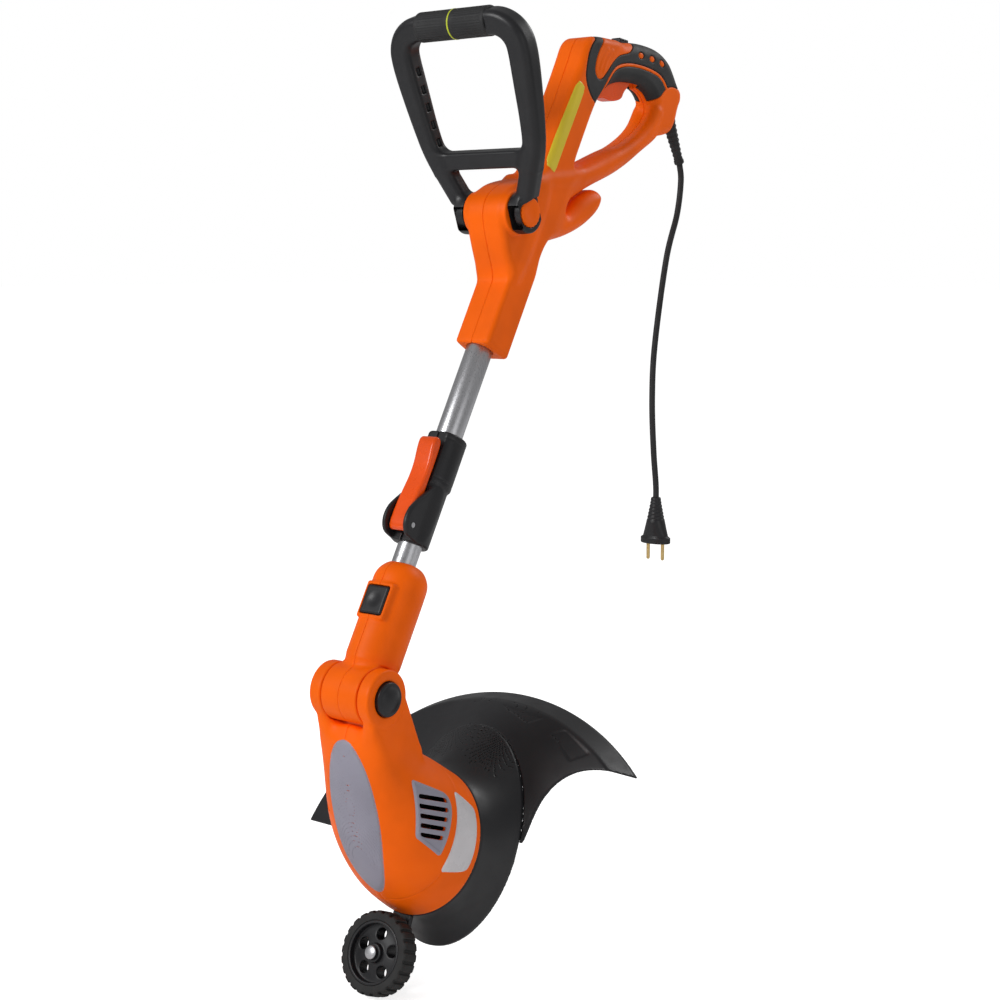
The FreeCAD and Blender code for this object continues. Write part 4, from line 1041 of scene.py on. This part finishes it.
def guard_wing(x, v, w):
    radius = np.hypot(x, v - WING_CENTRE)
    tilt = 0.96 - 0.5 * ramp(radius, 220, 226)
    middle = wing_level(x, v) - GUARD_SKIN / 2 / tilt
    sheet = np.abs(w - middle) * tilt - GUARD_SKIN / 2
    lip = slab(np.abs(radius - 232.7) - 1.3, np.abs(w + 247.2) - 3.8, 0.8)
    sheet = soft_min(sheet, lip, 1.2)
    kept = np.maximum(radius - WING_RADIUS, -0.6 - beyond_crease(x, v) * 80)
    kept = np.maximum(kept, np.maximum(-124 - v, -WING_NOTCH(x, v)))
    return soft_max(sheet, kept, 0.9)


def guard():
    add_field("guard_bell", guard_dome, (-80, -214, -198), (80, 14, -138), 1.2, HEAD, "guard_dome")
    add_field("guard_flare", guard_wing, (-236, -127, -254), (164, 54, -190), 1.35, HEAD, "guard_wing")


# Guide wheel, in the head frame

_, WHEEL_V, WHEEL_W = HEAD.inverted() @ middle_of("wheel_tyre")


def tyre(x, v, w):
    """The tyre, with grooves straight across its tread."""
    v = v - WHEEL_V
    w = w - WHEEL_W
    radius = np.hypot(x, v)
    tread = slab(radius - 39.3, np.abs(w) - 9.4, 3.5)
    pitch = 2 * math.pi / 24
    across = ((np.arctan2(v, x) + pitch / 2) % pitch - pitch / 2) * radius
    groove = np.maximum(np.abs(across) - 1.6, 36.8 - radius)
    return soft_max(soft_max(tread, -groove, 0.8), 30 - radius, 0.6)


def hub(x, v, w):
    """The hub: a dished disc with five round windows about its boss."""
    v = v - WHEEL_V
    w = w - WHEEL_W
    radius = np.hypot(x, v)
    rim = slab(radius - 30, np.abs(w) - 9.4, 1)
    level = 4.5 - 1.5 * ramp(radius, 10, 24)
    dish = soft_max(radius - 27, level - w, 1.5)
    body = soft_max(rim, -dish, 1)
    body = soft_min(body, slab(radius - 9, np.abs(w) - 9.4, 1), 1.5)
    for index in range(5):
        angle = math.radians(90 + 72 * index)
        window = np.hypot(x - 18.5 * math.cos(angle), v - 18.5 * math.sin(angle)) - 5.6
        body = soft_max(body, -window, 1)
    return soft_max(body, 4.06 - radius, 0.4)


def wheel_bracket(x, v, w):
    ahead = v - WHEEL_V
    plate = slab(np.hypot(x, np.minimum(ahead, 0)) - 11, np.abs(w + 144.2) - 2.7, 1)
    plate = np.maximum(plate, ahead - 52)
    post = disc(x, ahead, 9, w + 141, 5.9, 1)
    body = soft_min(plate, post, 2)
    body = soft_max(body, -dome_form(x, v, w), 0.5)
    return soft_max(body, 3.95 - np.hypot(x, ahead), 0.3)


def axle(x, v, w):
    """The wheel's axle, a bright rivet with a low domed head."""
    radius = np.hypot(x, v - WHEEL_V)
    rod = slab(radius - 4, np.abs(w + 128) - 18.8, 0.6)
    head = slab(radius - 6.4, np.abs(w + 109.3) - 1.2, 0.5)
    dome = np.hypot(radius, w + 122) - 14
    return soft_min(rod, soft_max(head, dome, 0.4), 0.4)


def guide_wheel():
    low = np.array((-41.0, WHEEL_V - 41, WHEEL_W - 12))
    high = np.array((41.0, WHEEL_V + 41, WHEEL_W + 12))
    add_field("tyre_treaded", tyre, low, high, 0.8, HEAD, "wheel_tyre")
    add_field("hub_dished", hub, low + (9, 9, 0), high - (9, 9, 0), 0.7, HEAD, "wheel_hub")
    low = (-14, WHEEL_V - 14, -150)
    high = (14, WHEEL_V + 58, -132)
    add_field("bracket", wheel_bracket, low, high, 0.7, HEAD, "wheel_bracket")
    low = (-9, WHEEL_V - 9, -150)
    high = (9, WHEEL_V + 9, -104)
    add_field("axle_rivet", axle, low, high, 0.5, HEAD, "wheel_axle")


# Spool, seen from below, in the head frame


def drum_shell(x, v, w):
    """The drum, open below, with finger grips pressed into its rim."""
    v = v - MOTOR_V
    radius = np.hypot(x, v)
    outer = soft_max(slab(radius - 39.9, np.abs(w + 216.5) - 19.4, 0.8), radius + w + 157.5, 3)
    grips = 0.7 * wave(np.arctan2(v, x) * 20) * ramp(-w, 206, 210)
    inside = slab(radius - 37.5, np.abs(w + 240) - 40, 1)
    body = soft_max(outer + grips, -inside, 0.5)
    sleeve = slab(radius - 8, np.abs(w + 199.8) - 2.7, 0.4)
    body = soft_min(body, sleeve, 0.6)
    body = soft_max(body, 4.02 - radius, 0.3)
    eyelet = np.maximum(np.hypot(x, w + 233) - 2, -v)
    return soft_max(body, -eyelet, 0.5)


def drum_ring(x, v, w):
    v = v - MOTOR_V
    radius = np.hypot(x, v)
    ring = slab(radius - 39.9, np.abs(w + 237.6) - 1.35, 0.6)
    return soft_max(ring, 23.5 - radius, 0.5)


def knob(x, v, w):
    """The bump knob, with a rounded foot and shallow flutes."""
    v = v - MOTOR_V
    radius = np.hypot(x, v)
    flutes = 0.8 * wave(np.arctan2(v, x) * 12) * ramp(radius, 12, 18) * ramp(-w, 238, 242)
    return slab(radius - 21.9 + flutes, np.abs(w + 244) - 7.9, 5)


def spool_face():
    shift = np.array((0, MOTOR_V, 0))
    for name, field, low, high, node in (
        ("drum_cup", drum_shell, (-42, -42, -237), (42, 42, -195), "spool_drum"),
        ("drum_ring", drum_ring, (-42, -42, -241), (42, 42, -234), "drum_cover"),
        ("knob_fluted", knob, (-24, -24, -254), (24, 24, -234), "bump_knob"),
    ):
        add_field(name, field, shift + low, shift + high, 0.8, HEAD, node)


# Cord and plug

CORD_START = Vector((0, 158, 728))
CORD_TIP = Vector((0, 209, 696))
CORD_RADIUS = 3.3


def cord():
    share = np.linspace(0, 1, 90)
    path = np.array(CORD_START) + share[:, None] * np.array(CORD_TIP - CORD_START)
    ribbed = ramp(share, 0.18, 0.24) * (1 - ramp(share, 0.84, 0.9))
    radii = 7.9 - 3.3 * share - 0.8 * ribbed * wave(share * 2 * math.pi * 11)
    radii = np.where(share > 0.93, radii + 0.7, radii)
    radii[0] -= 0.6
    radii[-1] -= 0.8
    points, faces = swept(path, radii, 40)
    add_piece("boot_ribbed", points, faces, POLE, "cord_boot", crease=60)
    tip = (POLE @ CORD_TIP) / MM
    back = middle_of("plug_body")[1] / MM
    points = smooth_path((
        tip, (0, back + 43, 771), (0, back + 36, 735), (0, back + 15, 685), (0, back - 6, 592),
        (0, back - 10, 532), (0, back - 6, 476), (0, back - 0.5, 437), (0, back, 417),
    ), 220)
    points, faces = swept(points, np.full(len(points), CORD_RADIUS), 28)
    add_piece("cable", points, faces, ROW, "power_cord", crease=60)


def plug_moulding(x, y, z):
    """The plug's oval flange, waist and ribbed shank, tapering up to the cord. z is 0 at its face."""
    levels = (0, 6.5, 8.5, 18, 24, 52)
    half_x = np.interp(z, levels, (18.5, 18.5, 15.5, 12.5, 10.6, 5.2))
    half_y = np.interp(z, levels, (10.5, 10.5, 9.4, 10, 10.3, 5.2))
    ribs = 0.5 * wave((z - 26) * 2 * math.pi / 4) * ramp(z, 26, 28) * (1 - ramp(z, 47, 49))
    out = (np.hypot(x / half_x, y / half_y) - 1) * np.minimum(half_x, half_y) * 0.85 + ribs
    return soft_max(soft_max(out, -z, 1.5), z - 51.8, 1)


def plug_prongs(x, y, z):
    """Two round pins with rounded tips, below the face."""
    away = np.hypot(np.hypot(np.abs(x) - 9.5, y), np.minimum(z + 17, 0)) - 2
    return np.maximum(away, z - 0.3)


def plug():
    low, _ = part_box("plug_body")
    face = Matrix.Translation((0, middle_of("plug_pins")[1], low[2])) @ ROW
    add_field("plug_moulding", plug_moulding, (-21, -13, -2), (21, 13, 54), 0.7, face, "plug_body")
    add_field("plug_prongs", plug_prongs, (-13, -4, -21), (13, 4, 2), 0.4, face, "plug_pins")


motor_head()
guard()
guide_wheel()
spool_face()
cord()
plug()


# Stage, lights and camera

FOCAL_LENGTH = 63.72
CAMERA_OFFSET = Vector((1.067, -1.156, 0.388))
CAMERA_PITCH = 82.34
CAMERA_TURN = 38
SKY = 0.34  # for the light on the machine; the camera sees plain white
FLOOR_LIFT = 0.74


def area_light(name, place, target, size, power):
    lamp = bpy.data.lights.new(name, "AREA")
    lamp.shape = "DISK"
    lamp.size = size
    lamp.energy = power
    obj = bpy.data.objects.new(name, lamp)
    obj.location = place
    obj.rotation_euler = (Vector(target) - Vector(place)).to_track_quat("-Z", "Y").to_euler()
    bpy.context.scene.collection.objects.link(obj)


def studio():
    """White behind the machine, a softer sky for its own light, and a key light from the camera's left."""
    world = bpy.data.worlds.new("studio")
    bpy.context.scene.world = world
    world.use_nodes = True
    tree = world.node_tree
    background = tree.nodes["Background"]
    path = tree.nodes.new("ShaderNodeLightPath")
    level = tree.nodes.new("ShaderNodeMapRange")
    level.inputs["To Min"].default_value = SKY
    level.inputs["To Max"].default_value = 1.0
    tree.links.new(path.outputs["Is Camera Ray"], level.inputs["Value"])
    tree.links.new(level.outputs[0], background.inputs[1])
    background.inputs[0].default_value = (1, 1, 1, 1)
    target = (0, 0.15, 0.45)
    area_light("key", (-0.9, -2.6, 2.0), target, 1.1, 52)
    area_light("fill", (2.6, -0.8, 0.9), target, 1.8, 7)
    area_light("back", (0.8, 2.4, 2.2), target, 1.2, 20)

    bpy.ops.mesh.primitive_plane_add(size=80)
    floor = bpy.context.object
    floor.name = "floor"
    recipe = Recipe("floor")
    pale = recipe.mix(recipe.grain(0.4, 4), (0.92, 0.92, 0.92, 1), (0.95, 0.95, 0.95, 1))
    lift = recipe.sum_of(recipe.add("ShaderNodeLightPath").outputs["Is Camera Ray"], FLOOR_LIFT, "MULTIPLY")
    floor.data.materials.append(
        recipe.set(Base_Color=pale, Roughness=0.9, Emission_Color=(1, 1, 1, 1), Emission_Strength=lift)
    )


def camera():
    lens = bpy.data.cameras.new("camera")
    lens.lens = FOCAL_LENGTH
    lens.sensor_width = 36
    obj = bpy.data.objects.new("camera", lens)
    obj.location = PIVOT + CAMERA_OFFSET
    obj.rotation_euler = (math.radians(CAMERA_PITCH), 0, math.radians(CAMERA_TURN))
    bpy.context.scene.collection.objects.link(obj)
    bpy.context.scene.camera = obj


studio()
camera()
bpy.context.scene.view_settings.view_transform = "Standard"
